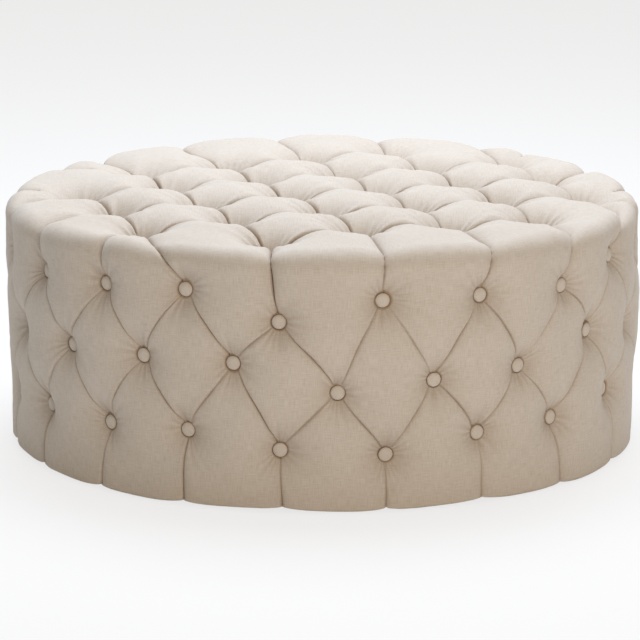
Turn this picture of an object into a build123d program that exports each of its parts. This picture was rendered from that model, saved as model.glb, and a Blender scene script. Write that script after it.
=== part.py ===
from build123d import *
import math
import os

# A round, button-tufted ottoman coffee table: a plywood drum frame wrapped in foam,
# wadding and a linen-look cover that covered buttons pull into deep tufts.
# Z is up, the origin is on the floor under the middle, and the front faces -Y.
# All lengths are in millimetres and all angles in degrees.

# Overall size: across the fullest puffs of the side, and up to those of the top
overall_diameter = 1016
overall_height = 406

# Gaps between neighbouring pieces, and how far a cutting shape runs past its work
fit_gap = 0.2
soft_gap = 0.3
overrun = 5

# Soft layers
cover_thickness = 1.6
wadding_thickness = 8
side_foam_thickness = 25
top_foam_thickness = 38
foam_pocket_radius = 25

# Plywood and solid timber
top_board_thickness = 15
base_ring_thickness = 18
base_ring_width = 100
panel_thickness = 5
panel_seam_gap = 1
post_section = 38
post_count = 10
brace_width = 38
brace_depth = 38
brace_end_margin = 45

# Underside
glide_height = 3.2
glide_diameter = 22
glide_rim_radius = 1.2
glide_count = 6
glide_pin_diameter = 3
glide_pin_depth = 14
glide_pin_head_thickness = 1.0
glide_pin_head_diameter = 8
glide_pin_recess = 0.8
hem_turn_under = 51
dust_cover_thickness = 0.8
dust_cover_overlap = 20

# Tufting of the side: three rows of buttons, the middle row half a column over
tuft_columns = 20
tuft_phase = -7.0
upper_row_height = 320
middle_row_height = 210
lower_row_height = 103
side_button_depth = 25
side_pleat_depth = 10
hem_pleat_depth = 7
hem_draw_in = 3
pleat_half_width = 1.5
least_bulge = 0.3
shoulder_drop = 52
shoulder_pleat_depth = 9
rim_drop = 15
rim_bulge = 13
rim_padding = 12

# Tufting of the top: a grid of buttons, turned on the round top and a little off its middle
top_tuft_pitch = 149
top_row_pitch = 147
top_tuft_turn = 22.0
top_grid_aside = 13
top_grid_forward = 14
top_tuft_margin = 85
top_button_depth = 52
top_pleat_depth = 15
top_well_mouth_radius = 46
top_edge_slope = 90

# Covered buttons: a domed fabric cap over a plate with a wire eye
button_diameter = 22
button_height = 7
button_edge_height = 2.5
button_wall = 1.1
button_seat_margin = 1.2
button_seat_gap = 0.4
button_plate_thickness = 1.0
button_eye_radius = 3.3
button_eye_wire = 1.4
button_hole_diameter = 9

# Tufting twine: through the eye, back through the board, its tails stapled flat
twine_diameter = 1.2
twine_bend_radius = 2
twine_tail = 8
twine_hole_diameter = 6.4
twine_gap = 0.1

# Fasteners
staple_wire = 0.8
twine_staple_crown = 5
twine_staple_leg = 4.4
hem_staple_crown = 11
hem_staple_leg = 9
hem_staple_count = 60
dust_staple_crown = 11
dust_staple_leg = 8
dust_staple_count = 30
dust_staple_inset = 7
screw_diameter = 4
screw_head_diameter = 8
screw_length = 42
screw_point = 3
screw_drive_width = 2.6
screw_drive_depth = 1.6
screw_pilot_gap = 0.1
post_screw_spacing = 18
brace_screw_spacing = 150
brace_screw_steps = (-2, -1, 0, 1, 2)
nail_diameter = 1.6
nail_length = 22
nail_head_diameter = 4
nail_head_thickness = 0.6
nail_spacing = 18
nail_end_margin = 30
nail_rows = 4

# Sizes worked out from the ones above
overall_radius = overall_diameter / 2
wadding_inset = cover_thickness + soft_gap
foam_inset = wadding_inset + wadding_thickness + soft_gap
side_foam_radius = overall_radius - side_button_depth - foam_inset
side_foam_top = overall_height - rim_drop - foam_inset - rim_padding
side_inner_radius = side_foam_radius - side_foam_thickness
panel_outer_radius = side_inner_radius - soft_gap
panel_inner_radius = panel_outer_radius - panel_thickness
frame_radius = panel_inner_radius - fit_gap

hem_height = glide_height
hem_inner_radius = side_inner_radius - hem_turn_under
base_ring_bottom = hem_height + cover_thickness
base_ring_top = base_ring_bottom + base_ring_thickness
top_foam_top = overall_height - top_pleat_depth - foam_inset
top_foam_bottom = top_foam_top - top_foam_thickness
top_board_top = top_foam_bottom - soft_gap
top_board_bottom = top_board_top - top_board_thickness
post_length = top_board_bottom - base_ring_top
post_radius = math.sqrt(frame_radius**2 - (post_section / 2) ** 2) - post_section / 2
panel_height = top_board_top - base_ring_bottom

dust_cover_radius = hem_inner_radius + dust_cover_overlap
glide_radius = (dust_cover_radius + frame_radius) / 2

button_radius = button_diameter / 2
seat_half_width = button_radius + button_seat_margin
column_angle = 360 / tuft_columns
seat_radius = overall_radius - side_button_depth
seat_angle = math.degrees(math.asin(seat_half_width / seat_radius))
seat_plane_radius = seat_radius * math.cos(math.radians(seat_angle))
top_seat_height = overall_height - top_button_depth
rim_height = overall_height - rim_drop
shoulder_height = overall_height - shoulder_drop

upwards = (Align.CENTER, Align.CENTER, Align.MIN)
downwards = (Align.CENTER, Align.CENTER, Align.MAX)


def around(angle, radius, height):
    """The point at an angle round the drum, counted from the front towards +X."""
    turn = math.radians(angle)
    return Vector(radius * math.sin(turn), -radius * math.cos(turn), height)


def radial_plane(angle):
    """The upright plane through the middle: local X points outwards, local Y up."""
    outwards = around(angle, 1, 0)
    return Plane(origin=(0, 0, 0), x_dir=outwards, z_dir=outwards.cross(Vector(0, 0, 1)))


def facing_out(angle, radius, height):
    """A place on the drum's side whose local Z points outwards and local Y up."""
    outwards = around(angle, 1, 0)
    sideways = Vector(0, 0, 1).cross(outwards)
    return Location(Plane(origin=around(angle, radius, height), x_dir=sideways, z_dir=outwards))


def upright(angle, radius, height):
    """A place round the drum whose local Z points up and local X outwards."""
    outwards = around(angle, 1, 0)
    return Location(Plane(origin=around(angle, radius, height), x_dir=outwards, z_dir=(0, 0, 1)))


def save(piece, name):
    """Labels a finished piece and writes it as its own file."""
    piece.part.label = name
    export_step(piece.part, f"parts/{name}.step")


# The side band is drawn as upright sections. A section's share is 0 in the plane of the
# upper and lower buttons and 1 in the plane of the middle ones, so its two pleats close
# in on the middle button as the share grows.


def pleat_depth(share):
    """How deep a slanting pleat lies in a section: deepest at the buttons on its ends."""
    way = 2 * min(share, 1 - share)
    return side_button_depth + (side_pleat_depth - side_button_depth) * way


def side_corners(share, seated):
    """The corners of the band's outline in one section, from the hem up to the rim.

    A seated section lies on a button's seat, and there the pleat is flat and as wide as
    the button.
    """
    end = round(share) if seated else share
    half = seat_half_width if seated else pleat_half_width
    inner_half = half / 3 if seated and end == 1 else -half
    valley = overall_radius - (side_button_depth if seated else pleat_depth(share))
    low = lower_row_height + end * (middle_row_height - lower_row_height)
    high = upper_row_height + end * (middle_row_height - upper_row_height)
    hem_radius = overall_radius - hem_draw_in - hem_pleat_depth * (1 - share)
    shoulder_radius = overall_radius - shoulder_pleat_depth * (1 - share)
    return [
        Vector(hem_radius, hem_height),
        Vector(valley, low - half),
        Vector(valley, low - inner_half),
        Vector(valley, high + inner_half),
        Vector(valley, high + half),
        Vector(shoulder_radius, shoulder_height),
        Vector(side_inner_radius, rim_height),
    ]


def draw_crest(start, end, crest):
    """Draws an arc from start to end that stands out as far as the crest radius."""
    rise = crest - (start.X + end.X) / 2
    lean = (end.X - start.X) / 2
    along = (end - start).normalized()
    bulge = (rise + math.sqrt(max(0.0, rise**2 - lean**2))) / (1 + along.Y)
    draw_bulge(start, end, bulge)


def draw_bulge(start, end, bulge):
    """Draws an arc from start to end whose middle stands out by a bulge."""
    along = (end - start).normalized()
    out = Vector(along.Y, -along.X) * max(bulge, least_bulge)
    ThreePointArc(start, (start + end) / 2 + out, end)


def draw_side_outline(share, seated, inset):
    """Draws the band's outline at a depth below its surface, from the hem up to the rim."""
    corners = [corner - Vector(inset, 0) for corner in side_corners(share, seated)]
    corners[0] += Vector(0, min(inset, wadding_inset))
    corners[-1] += Vector(inset, -inset)
    hem, low, low_top, high_bottom, high, shoulder, rim = corners
    on_middle_seat = seated and round(share) == 1
    draw_crest(hem, low, hem.X + hem_draw_in)
    Line(low, low_top)
    draw_crest(low_top, high_bottom, low.X if on_middle_seat else overall_radius - inset)
    Line(high_bottom, high)
    draw_crest(high, shoulder, shoulder.X)
    draw_bulge(shoulder, rim, rim_bulge)
    return corners


def side_stations():
    """The sections of one tuft column, from mid pleat to mid pleat: angle, share, seated."""
    half_column = column_angle / 2
    seat_share = seat_angle / half_column
    steps = [(-0.5, False), (-seat_share, True), (seat_share, True)]
    stations = []
    for middle, end_share in ((half_column, 1), (column_angle, 0)):
        for step, seated in steps:
            stations.append((middle + step * half_column, abs(end_share - abs(step)), seated))
    stations.append((column_angle + half_column / 2, 0.5, False))
    return stations


def side_button_spots(column):
    """Angle and height of the three buttons of one tuft column."""
    first = tuft_phase + column * column_angle
    return [
        (first, upper_row_height),
        (first + column_angle / 2, middle_row_height),
        (first, lower_row_height),
    ]


side_spots = [spot for column in range(tuft_columns) for spot in side_button_spots(column)]


def close_cover_section(outer, share, seated):
    """Closes a section of the cover: its inner face, and the hem turned under the base."""
    inner = draw_side_outline(share, seated, cover_thickness)
    Line(outer[-1], inner[-1])
    Polyline(inner[0], (hem_inner_radius, inner[0].Y), (hem_inner_radius, outer[0].Y), outer[0])


def close_wadding_section(outer):
    """Closes a section of the wadding round the plain foam band behind it."""
    ledge = side_foam_top + soft_gap
    back = side_foam_radius + soft_gap
    Polyline(outer[-1], (side_inner_radius, ledge), (back, ledge), (back, outer[0].Y), outer[0])


def side_layer(inset):
    """The side's cover, or its wadding: one column lofted, bored and repeated round."""
    with BuildPart() as column:
        for angle, share, seated in side_stations():
            with BuildSketch(radial_plane(tuft_phase + angle)):
                with BuildLine():
                    outer = draw_side_outline(share, seated, inset)
                    if inset:
                        close_wadding_section(outer)
                    else:
                        close_cover_section(outer, share, seated)
                make_face()
        loft(ruled=True)
        own_spots = [side_button_spots(0)[1], side_button_spots(1)[0], side_button_spots(1)[2]]
        with Locations(*[facing_out(angle, seat_radius, height) for angle, height in own_spots]):
            Cylinder(button_hole_diameter / 2, 2 * side_button_depth, mode=Mode.SUBTRACT)
    with BuildPart() as layer:
        with PolarLocations(0, tuft_columns):
            add(column.part, clean=False)
    return layer


def side_foam_band():
    """The plain foam band behind the side's wadding, bored for the twines."""
    bottom = hem_height + wadding_inset
    with BuildPart() as band:
        with BuildSketch(Plane.XY.offset(bottom)):
            Circle(side_foam_radius)
            Circle(side_inner_radius, mode=Mode.SUBTRACT)
        extrude(amount=side_foam_top - bottom)
        middle = (side_foam_radius + side_inner_radius) / 2
        with Locations(*[facing_out(angle, middle, height) for angle, height in side_spots]):
            Cylinder(twine_hole_diameter / 2, 2 * side_foam_thickness, mode=Mode.SUBTRACT)
    return band


# The top is a grid of puffs: vaults across both ways of the turned grid, under a gently
# domed edge, with a bell-mouthed well at each button.
grid_turn = Location((0, 0, 0), (0, 0, top_tuft_turn))
grid_reach = math.ceil(overall_radius / min(top_tuft_pitch, top_row_pitch))
well_throat_share = 0.25


def top_well_points():
    """Grid places of the wells: buttons in rows through the middle and half a pitch beside."""
    wells = []
    for row in range(-grid_reach, grid_reach + 1):
        for column in range(-grid_reach, grid_reach):
            x = (column + 0.5) * top_tuft_pitch + top_grid_aside
            y = row * top_row_pitch - top_grid_forward
            if math.hypot(x, y) <= overall_radius - top_tuft_margin:
                wells.append((x, y))
    return wells


top_wells = top_well_points()


def on_top_wells(height):
    """The places of the top's buttons at a height, with local Y along the grid's rows."""
    return [grid_turn * Location((x, y, height)) for x, y in top_wells]


def draw_vaults(first_edge, pitch, inset):
    """Draws a row of shallow arches, one pitch each, down to the foam's underside."""
    valley = overall_height - top_pleat_depth - inset
    crest = overall_height - inset
    edges = [first_edge + number * pitch for number in range(2 * grid_reach + 2)]
    for start, end in zip(edges, edges[1:]):
        ThreePointArc((start, valley), ((start + end) / 2, crest), (end, valley))
    feet = [(edges[-1], top_foam_bottom), (edges[0], top_foam_bottom)]
    Polyline((edges[-1], valley), *feet, (edges[0], valley))


def draw_well(inset):
    """Draws the half outline of a well: a flat seat and a bell mouth, open above."""
    seat = Vector(seat_half_width + inset, top_seat_height - inset)
    mouth = Vector(top_well_mouth_radius + inset, overall_height - inset)
    across = mouth - seat
    throat = seat + Vector(across.X * well_throat_share, across.Y * (1 - well_throat_share))
    ThreePointArc(seat, throat, mouth)
    ceiling = overall_height + overrun
    Polyline(mouth, (mouth.X, ceiling), (0, ceiling), (0, seat.Y), seat)


def draw_dome(inset, overhang):
    """Draws the half outline of the top: level in the middle, falling to the rim."""
    ceiling = overall_height + overrun - inset
    brow = (panel_outer_radius - top_edge_slope, ceiling)
    bend = (panel_outer_radius - top_edge_slope / 2, overall_height - inset)
    rim = (panel_outer_radius, rim_height - inset)
    edge = panel_outer_radius + overhang
    ledge = [(edge, rim[1])] if overhang else []
    ThreePointArc(brow, bend, rim)
    Polyline(rim, *ledge, (edge, top_foam_bottom), (0, top_foam_bottom), (0, ceiling), brow)


def top_form(inset, overhang=0.0):
    """The tufted top at a depth below its surface, down to the foam's underside."""
    first_column = top_grid_aside - (grid_reach + 0.5) * top_tuft_pitch
    first_row = -top_grid_forward - (grid_reach + 1) * top_row_pitch
    with BuildPart() as well:
        with BuildSketch(Plane.XZ):
            with BuildLine():
                draw_well(inset)
            make_face()
        revolve(axis=Axis.Z)
    with BuildPart() as form:
        with BuildSketch(Plane.XZ.rotated((0, 0, top_tuft_turn))):
            with BuildLine():
                draw_vaults(first_column, top_tuft_pitch, inset)
            make_face()
        extrude(amount=2 * overall_radius, both=True)
        with BuildSketch(Plane.YZ.rotated((0, 0, top_tuft_turn))):
            with BuildLine():
                draw_vaults(first_row, top_row_pitch, inset)
            make_face()
        extrude(amount=2 * overall_radius, both=True, mode=Mode.INTERSECT)
        with BuildSketch(Plane.XZ):
            with BuildLine():
                draw_dome(inset, overhang)
            make_face()
        revolve(axis=Axis.Z, mode=Mode.INTERSECT)
        with Locations(*on_top_wells(0)):
            add(well.part, mode=Mode.SUBTRACT)
    return form


def top_cover_layer():
    """The top's cover: the tufted form less the same form one cloth deeper."""
    outer = top_form(0)
    inner = top_form(cover_thickness, overrun)
    with BuildPart() as cover:
        add(outer.part)
        add(inner.part, mode=Mode.SUBTRACT)
        with Locations(*on_top_wells(top_seat_height)):
            Cylinder(button_hole_diameter / 2, 2 * top_button_depth, mode=Mode.SUBTRACT)
    return cover


def top_foam_disc(gap=0.0):
    """The foam slab with a round pocket for each tuft, or the room it takes with a gap."""
    with BuildPart() as disc:
        with BuildSketch(Plane.XY.offset(top_foam_bottom)):
            Circle(panel_outer_radius + (overrun if gap else 0))
            with Locations(*on_top_wells(0)):
                Circle(foam_pocket_radius - gap, mode=Mode.SUBTRACT)
        extrude(amount=top_foam_thickness + gap)
    return disc


def top_wadding_layer():
    """The fibre that fills the puffs over the foam and lines the pockets of the tufts."""
    outer = top_form(wadding_inset)
    room = top_foam_disc(soft_gap)
    with BuildPart() as wadding:
        add(outer.part)
        add(room.part, mode=Mode.SUBTRACT)
        with Locations(*on_top_wells(top_seat_height)):
            Cylinder(button_hole_diameter / 2, 2 * top_button_depth, mode=Mode.SUBTRACT)
    return wadding


# Fasteners, each drawn pointing down from the surface that it is driven into.


def screw_blank(gap=0.0):
    """A countersunk screw without its drive, or its hole where a gap is given."""
    shank = screw_diameter / 2 + gap
    head = screw_head_diameter / 2 + gap
    with BuildPart() as blank:
        with BuildSketch(Plane.XZ):
            Polygon(
                (0, 0),
                (head, 0),
                (shank, shank - head),
                (shank, screw_point - screw_length - gap),
                (0, -screw_length - gap),
                align=None,
            )
        revolve(axis=Axis.Z)
    return blank


def staple(crown, leg):
    """A wire staple whose crown lies along local X, its legs pointing down."""
    with BuildPart() as bent:
        with BuildLine(Plane.XZ) as wire:
            FilletPolyline(
                (-crown / 2, -leg),
                (-crown / 2, 0),
                (crown / 2, 0),
                (crown / 2, -leg),
                radius=staple_wire,
            )
        with BuildSketch(Plane(origin=wire.line @ 0, z_dir=wire.line % 0)):
            Circle(staple_wire / 2)
        sweep(path=wire.line)
    return bent


def group(blank, places):
    """Separate copies of one small piece at many places, kept in one node."""
    with BuildPart() as copies:
        with Locations(*places):
            add(blank.part)
    return copies


# Where the screws of the frame go in.
first_post_angle = tuft_phase + column_angle / 4
post_angles = [first_post_angle + number * 360 / post_count for number in range(post_count)]
half_brace = brace_width / 2
cross_brace_offset = top_row_pitch / 2
brace_reach = frame_radius - brace_end_margin
long_brace_half = math.sqrt(brace_reach**2 - half_brace**2)
cross_brace_half = math.sqrt(brace_reach**2 - (cross_brace_offset + half_brace) ** 2)


def post_screw_places(angle, height):
    """Places of the two screws at one end of a post."""
    spread = post_screw_spacing / 2
    middle = upright(angle, post_radius, height)
    return [middle * Location((0, side, 0)) for side in (-spread, spread)]


def brace_screw_places():
    """Places of the screws from the board down into the braces, clear of their laps."""
    spots = [(0, step * brace_screw_spacing) for step in brace_screw_steps]
    for row in (-cross_brace_offset, cross_brace_offset):
        spots += [(step * brace_screw_spacing, row) for step in brace_screw_steps if step]
    return [grid_turn * Location((x, y, top_board_top)) for x, y in spots]


board_screw_places = brace_screw_places()
ring_screw_places = []
for post_angle in post_angles:
    board_screw_places += post_screw_places(post_angle, top_board_top)
    for place in post_screw_places(post_angle, base_ring_bottom):
        ring_screw_places.append(place * Location((0, 0, 0), (180, 0, 0)))


def make_frame():
    """The top board, base ring and posts, screwed together."""
    screw_hole = screw_blank(screw_pilot_gap)

    with BuildPart() as top_board:
        with BuildSketch(Plane.XY.offset(top_board_bottom)):
            Circle(frame_radius)
            with Locations(*[grid_turn * Location((x, y, 0)) for x, y in top_wells]):
                Circle(twine_hole_diameter / 2, mode=Mode.SUBTRACT)
        extrude(amount=top_board_thickness)
        with Locations(*board_screw_places):
            add(screw_hole.part, mode=Mode.SUBTRACT)
    save(top_board, "top_board")

    with BuildPart() as base_ring:
        with BuildSketch(Plane.XY.offset(base_ring_bottom)):
            Circle(frame_radius)
            Circle(frame_radius - base_ring_width, mode=Mode.SUBTRACT)
        extrude(amount=base_ring_thickness)
        with Locations(*ring_screw_places):
            add(screw_hole.part, mode=Mode.SUBTRACT)
    save(base_ring, "base_ring")

    for number, angle in enumerate(post_angles, start=1):
        with BuildPart() as post:
            with Locations(upright(angle, post_radius, base_ring_top)):
                Box(post_section, post_section, post_length, align=upwards)
            own = post_screw_places(angle, top_board_top)
            for place in post_screw_places(angle, base_ring_bottom):
                own.append(place * Location((0, 0, 0), (180, 0, 0)))
            with Locations(*own):
                add(screw_hole.part, mode=Mode.SUBTRACT)
        save(post, f"post_{number}")


def make_braces():
    """Three braces under the board, half lapped where they cross, screwed from above."""
    screw_hole = screw_blank(screw_pilot_gap)
    middle = top_board_bottom - brace_depth / 2
    lap = brace_width + 2 * fit_gap
    holes = brace_screw_places()

    with BuildPart() as long_brace:
        with Locations(grid_turn * Location((0, 0, middle))):
            Box(brace_width, 2 * long_brace_half, brace_depth)
        for row in (-cross_brace_offset, cross_brace_offset):
            with Locations(grid_turn * Location((0, row, middle + fit_gap / 2))):
                Box(lap, lap, brace_depth, align=downwards, mode=Mode.SUBTRACT)
        with Locations(*holes):
            add(screw_hole.part, mode=Mode.SUBTRACT)
    save(long_brace, "long_brace")

    for name, row in (("front_brace", -cross_brace_offset), ("back_brace", cross_brace_offset)):
        with BuildPart() as cross_brace:
            with Locations(grid_turn * Location((0, row, middle))):
                Box(2 * cross_brace_half, brace_width, brace_depth)
            with Locations(grid_turn * Location((0, row, middle - fit_gap / 2))):
                Box(lap, lap, brace_depth, align=upwards, mode=Mode.SUBTRACT)
            with Locations(*holes):
                add(screw_hole.part, mode=Mode.SUBTRACT)
        save(cross_brace, name)


def make_panels():
    """The bent plywood side in two halves that meet on opposite posts."""
    seam_angle = post_angles[0]
    bore_places = [facing_out(angle, panel_inner_radius, height) for angle, height in side_spots]
    for name, side in (("side_panel_right", 1), ("side_panel_left", -1)):
        sideways = around(seam_angle + 90, side, 0)
        with BuildPart() as panel:
            with BuildSketch(Plane.XY.offset(base_ring_bottom)):
                Circle(panel_outer_radius)
                Circle(panel_inner_radius, mode=Mode.SUBTRACT)
            extrude(amount=panel_height)
            seam = Plane(origin=sideways * panel_seam_gap / 2, z_dir=sideways)
            split(bisect_by=seam, keep=Keep.TOP)
            with Locations(*bore_places):
                Cylinder(twine_hole_diameter / 2, 4 * panel_thickness, mode=Mode.SUBTRACT)
        save(panel, name)


def make_screws_and_nails():
    """The screws that hold the frame together and the nails that hold its panel."""
    with BuildPart() as screw:
        add(screw_blank().part)
        Box(
            screw_drive_width,
            screw_drive_width,
            2 * screw_drive_depth,
            mode=Mode.SUBTRACT,
        )
    save(group(screw, board_screw_places), "board_screws")
    save(group(screw, ring_screw_places), "ring_screws")

    with BuildPart() as nail:
        Cylinder(nail_head_diameter / 2, nail_head_thickness, align=downwards)
        Cylinder(nail_diameter / 2, nail_length, align=downwards)
    flush_radius = panel_outer_radius - fit_gap
    low = base_ring_top + nail_end_margin
    step = (post_length - 2 * nail_end_margin) / (nail_rows - 1)
    places = []
    for angle in post_angles:
        for row in range(nail_rows):
            for side in (-nail_spacing / 2, nail_spacing / 2):
                turn = math.degrees(side / panel_outer_radius)
                places.append(facing_out(angle + turn, flush_radius, low + row * step))
    save(group(nail, places), "panel_nails")


# Covered buttons, and the twine that holds each one down.
button_eye_leg = button_eye_wire / 2 + twine_gap + twine_diameter / 2
side_button_radius = seat_plane_radius + button_seat_gap
top_button_base = top_seat_height + button_seat_gap
side_button_places = [facing_out(angle, side_button_radius, height) for angle, height in side_spots]
top_button_places = on_top_wells(top_button_base)


def draw_cap_dome(radius, edge_height, crown_height):
    """Draws a shallow dome from its edge up to the crown on the axis."""
    rise = crown_height - edge_height
    ball = (radius**2 + rise**2) / (2 * rise)
    half_way = radius / 2
    bend = (half_way, crown_height - ball + math.sqrt(ball**2 - half_way**2))
    ThreePointArc((radius, edge_height), bend, (0, crown_height))


def make_buttons():
    """Fabric-covered caps over plates with a wire eye, for the top and for the side."""
    inner_radius = button_radius - button_wall
    with BuildPart() as cap:
        with BuildSketch(Plane.XZ):
            with BuildLine():
                Polyline((inner_radius, button_edge_height), (inner_radius, 0), (button_radius, 0))
                Line((button_radius, 0), (button_radius, button_edge_height))
                draw_cap_dome(button_radius, button_edge_height, button_height)
                Line((0, button_height), (0, button_height - button_wall))
                draw_cap_dome(inner_radius, button_edge_height, button_height - button_wall)
            make_face()
        revolve(axis=Axis.Z)
    save(group(cap, top_button_places), "top_button_caps")
    save(group(cap, side_button_places), "side_button_caps")

    with BuildPart() as back:
        Cylinder(
            inner_radius - twine_gap,
            button_plate_thickness,
            align=upwards,
        )
        with BuildLine(Plane.XZ) as eye:
            reach = button_eye_radius
            root = button_plate_thickness / 2
            Line((-reach, root), (-reach, 0))
            ThreePointArc((-reach, 0), (0, -reach), (reach, 0))
            Line((reach, 0), (reach, root))
        with BuildSketch(Plane(origin=eye.line @ 0, z_dir=eye.line % 0)):
            Circle(button_eye_wire / 2)
        sweep(path=eye.line)
    save(group(back, top_button_places), "top_button_backs")
    save(group(back, side_button_places), "side_button_backs")


def twine_loop(depth):
    """A doubled twine over a button's eye, through the board, its tails turned apart."""
    tail_height = -depth - twine_gap - twine_diameter / 2
    tail_end = button_eye_leg + twine_bend_radius + twine_tail
    with BuildPart() as twine:
        with BuildLine(Plane.YZ) as path:
            for side in (-1, 1):
                FilletPolyline(
                    (side * tail_end, tail_height),
                    (side * button_eye_leg, tail_height),
                    (side * button_eye_leg, -button_eye_radius),
                    radius=twine_bend_radius,
                )
            ThreePointArc(
                (-button_eye_leg, -button_eye_radius),
                (0, button_eye_leg - button_eye_radius),
                (button_eye_leg, -button_eye_radius),
            )
        start = path.wires()[0]
        with BuildSketch(Plane(origin=start @ 0, z_dir=start % 0)):
            Circle(twine_diameter / 2)
        sweep(path=start)
    return twine


def make_twines():
    """The tufting twines, and the staples that hold their tails down."""
    top_depth = top_button_base - top_board_bottom
    side_depth = side_button_radius - panel_inner_radius
    save(group(twine_loop(top_depth), top_button_places), "top_twines")
    save(group(twine_loop(side_depth), side_button_places), "side_twines")

    tail_middle = button_eye_leg + twine_bend_radius + twine_tail / 2
    crown_height = twine_diameter + 2 * twine_gap + staple_wire / 2
    small_staple = staple(twine_staple_crown, twine_staple_leg)
    for name, places, depth in (
        ("top_twine_staples", top_button_places, top_depth),
        ("side_twine_staples", side_button_places, side_depth),
    ):
        own = []
        for place in places:
            for side in (-tail_middle, tail_middle):
                own.append(place * Location((0, side, -depth - crown_height), (180, 0, 0)))
        save(group(small_staple, own), name)


def make_underside():
    """The dust cover, the staples of the hem and of the dust cover, and the glides."""
    dust_cover_bottom = hem_height - dust_cover_thickness
    with BuildPart() as dust_cover:
        with BuildSketch(Plane.XY.offset(dust_cover_bottom)):
            Circle(dust_cover_radius)
        extrude(amount=dust_cover_thickness)
    save(dust_cover, "dust_cover")

    for name, crown, leg, count, radius, surface in (
        ("hem_staples", hem_staple_crown, hem_staple_leg, hem_staple_count, glide_radius, hem_height),
        (
            "dust_cover_staples",
            dust_staple_crown,
            dust_staple_leg,
            dust_staple_count,
            dust_cover_radius - dust_staple_inset,
            dust_cover_bottom,
        ),
    ):
        places = []
        for number in range(count):
            angle = (number + 0.5) * 360 / count
            place = upright(angle, radius, surface - twine_gap - staple_wire / 2)
            places.append(place * Location((0, 0, 0), (180, 0, 90)))
        save(group(staple(crown, leg), places), name)

    head_top = glide_pin_recess + glide_pin_head_thickness
    head_hole_radius = glide_pin_head_diameter / 2 + fit_gap
    pin_hole_radius = glide_pin_diameter / 2 + screw_pilot_gap
    glide_step = 360 / glide_count
    glide_places = [upright(number * glide_step, glide_radius, 0) for number in range(glide_count)]
    for number, place in enumerate(glide_places, start=1):
        with BuildPart() as glide:
            with Locations(place):
                Cylinder(glide_diameter / 2, glide_height, align=upwards)
                Cylinder(head_hole_radius, head_top, align=upwards, mode=Mode.SUBTRACT)
                Cylinder(pin_hole_radius, glide_height, align=upwards, mode=Mode.SUBTRACT)
            lowest = glide.edges().filter_by(GeomType.CIRCLE).group_by(Axis.Z)[0]
            fillet(lowest.sort_by(SortBy.RADIUS)[-1], glide_rim_radius)
        save(glide, f"glide_{number}")

    with BuildPart() as pin:
        pin_length = base_ring_bottom + glide_pin_depth - glide_pin_recess
        with Locations((0, 0, glide_pin_recess)):
            Cylinder(glide_pin_head_diameter / 2, glide_pin_head_thickness, align=upwards)
            Cylinder(glide_pin_diameter / 2, pin_length, align=upwards)
    save(group(pin, glide_places), "glide_pins")


if __name__ == "__main__":
    os.makedirs("parts", exist_ok=True)
    make_frame()
    make_braces()
    make_panels()
    make_screws_and_nails()
    make_buttons()
    make_twines()
    make_underside()
    save(side_layer(0), "side_cover")
    save(side_layer(wadding_inset), "side_wadding")
    save(side_foam_band(), "side_foam")
    save(top_cover_layer(), "top_cover")
    save(top_wadding_layer(), "top_wadding")
    save(top_foam_disc(), "top_foam")
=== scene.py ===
"""A round, deep-buttoned linen ottoman used as a coffee table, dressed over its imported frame.

Every length field is in millimetres, as an upholsterer writes it, and is turned to metres
where a mesh is made. Only the studio is laid out in metres.
"""

from __future__ import annotations

import logging
import math
import sys
from collections.abc import Iterator
from contextlib import contextmanager
from dataclasses import dataclass, field
from enum import Enum
from fnmatch import fnmatch
from typing import Any

import bmesh
import bpy
import numpy as np
from mathutils import Matrix, Vector

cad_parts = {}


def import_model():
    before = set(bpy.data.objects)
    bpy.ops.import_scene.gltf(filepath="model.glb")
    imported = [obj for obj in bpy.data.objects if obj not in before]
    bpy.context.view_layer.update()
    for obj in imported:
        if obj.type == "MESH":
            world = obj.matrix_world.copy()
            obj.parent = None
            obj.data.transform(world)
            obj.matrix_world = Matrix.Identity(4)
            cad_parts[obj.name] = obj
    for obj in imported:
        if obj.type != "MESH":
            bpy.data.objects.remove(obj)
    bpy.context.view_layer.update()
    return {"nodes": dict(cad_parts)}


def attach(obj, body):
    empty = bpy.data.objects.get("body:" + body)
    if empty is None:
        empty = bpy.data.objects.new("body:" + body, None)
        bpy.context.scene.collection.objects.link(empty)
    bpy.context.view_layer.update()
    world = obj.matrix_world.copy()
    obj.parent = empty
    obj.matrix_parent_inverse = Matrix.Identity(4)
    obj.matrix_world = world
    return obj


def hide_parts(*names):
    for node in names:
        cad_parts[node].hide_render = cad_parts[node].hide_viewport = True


log = logging.getLogger("ottoman")

MM = 0.001
# Keeps a length that something is divided by from being nought.
TINY = 1e-9
WHOLE_TURN = 2 * math.pi
BODY = "root"
# The cover's and the caps' UV map, which lays the weave, and the attribute of painted shade that
# darkens the cloth in folds, wells and under the caps.
CLOTH_MAP = "cloth"
PAINTED_SHADE_MAP = "painted_shade"


# Small helpers


def linear(hex_colour: str) -> tuple[float, float, float, float]:
    """Turns an sRGB hex colour into the linear colour that a shader socket takes.

    Args:
        hex_colour: the colour as six hex digits after a leading mark.

    Returns:
        Linear red, green and blue, and an alpha of 1.
    """
    digits = hex_colour.lstrip("#")
    shares = [int(digits[place : place + 2], 16) / 255 for place in (0, 2, 4)]
    red, green, blue = (
        share / 12.92 if share <= 0.04045 else ((share + 0.055) / 1.055) ** 2.4 for share in shares
    )
    return red, green, blue, 1.0


def set_inputs(tree: bpy.types.NodeTree, node: bpy.types.Node, inputs: dict[Any, Any]) -> None:
    """Sets a node's sockets to values, or links them from other sockets.

    Args:
        tree: the node tree.
        node: the node whose sockets are set.
        inputs: socket names or numbers, each with a value or with the socket to link from.
    """
    for key, value in inputs.items():
        if isinstance(value, bpy.types.NodeSocket):
            tree.links.new(value, node.inputs[key])
        else:
            node.inputs[key].default_value = value


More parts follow.
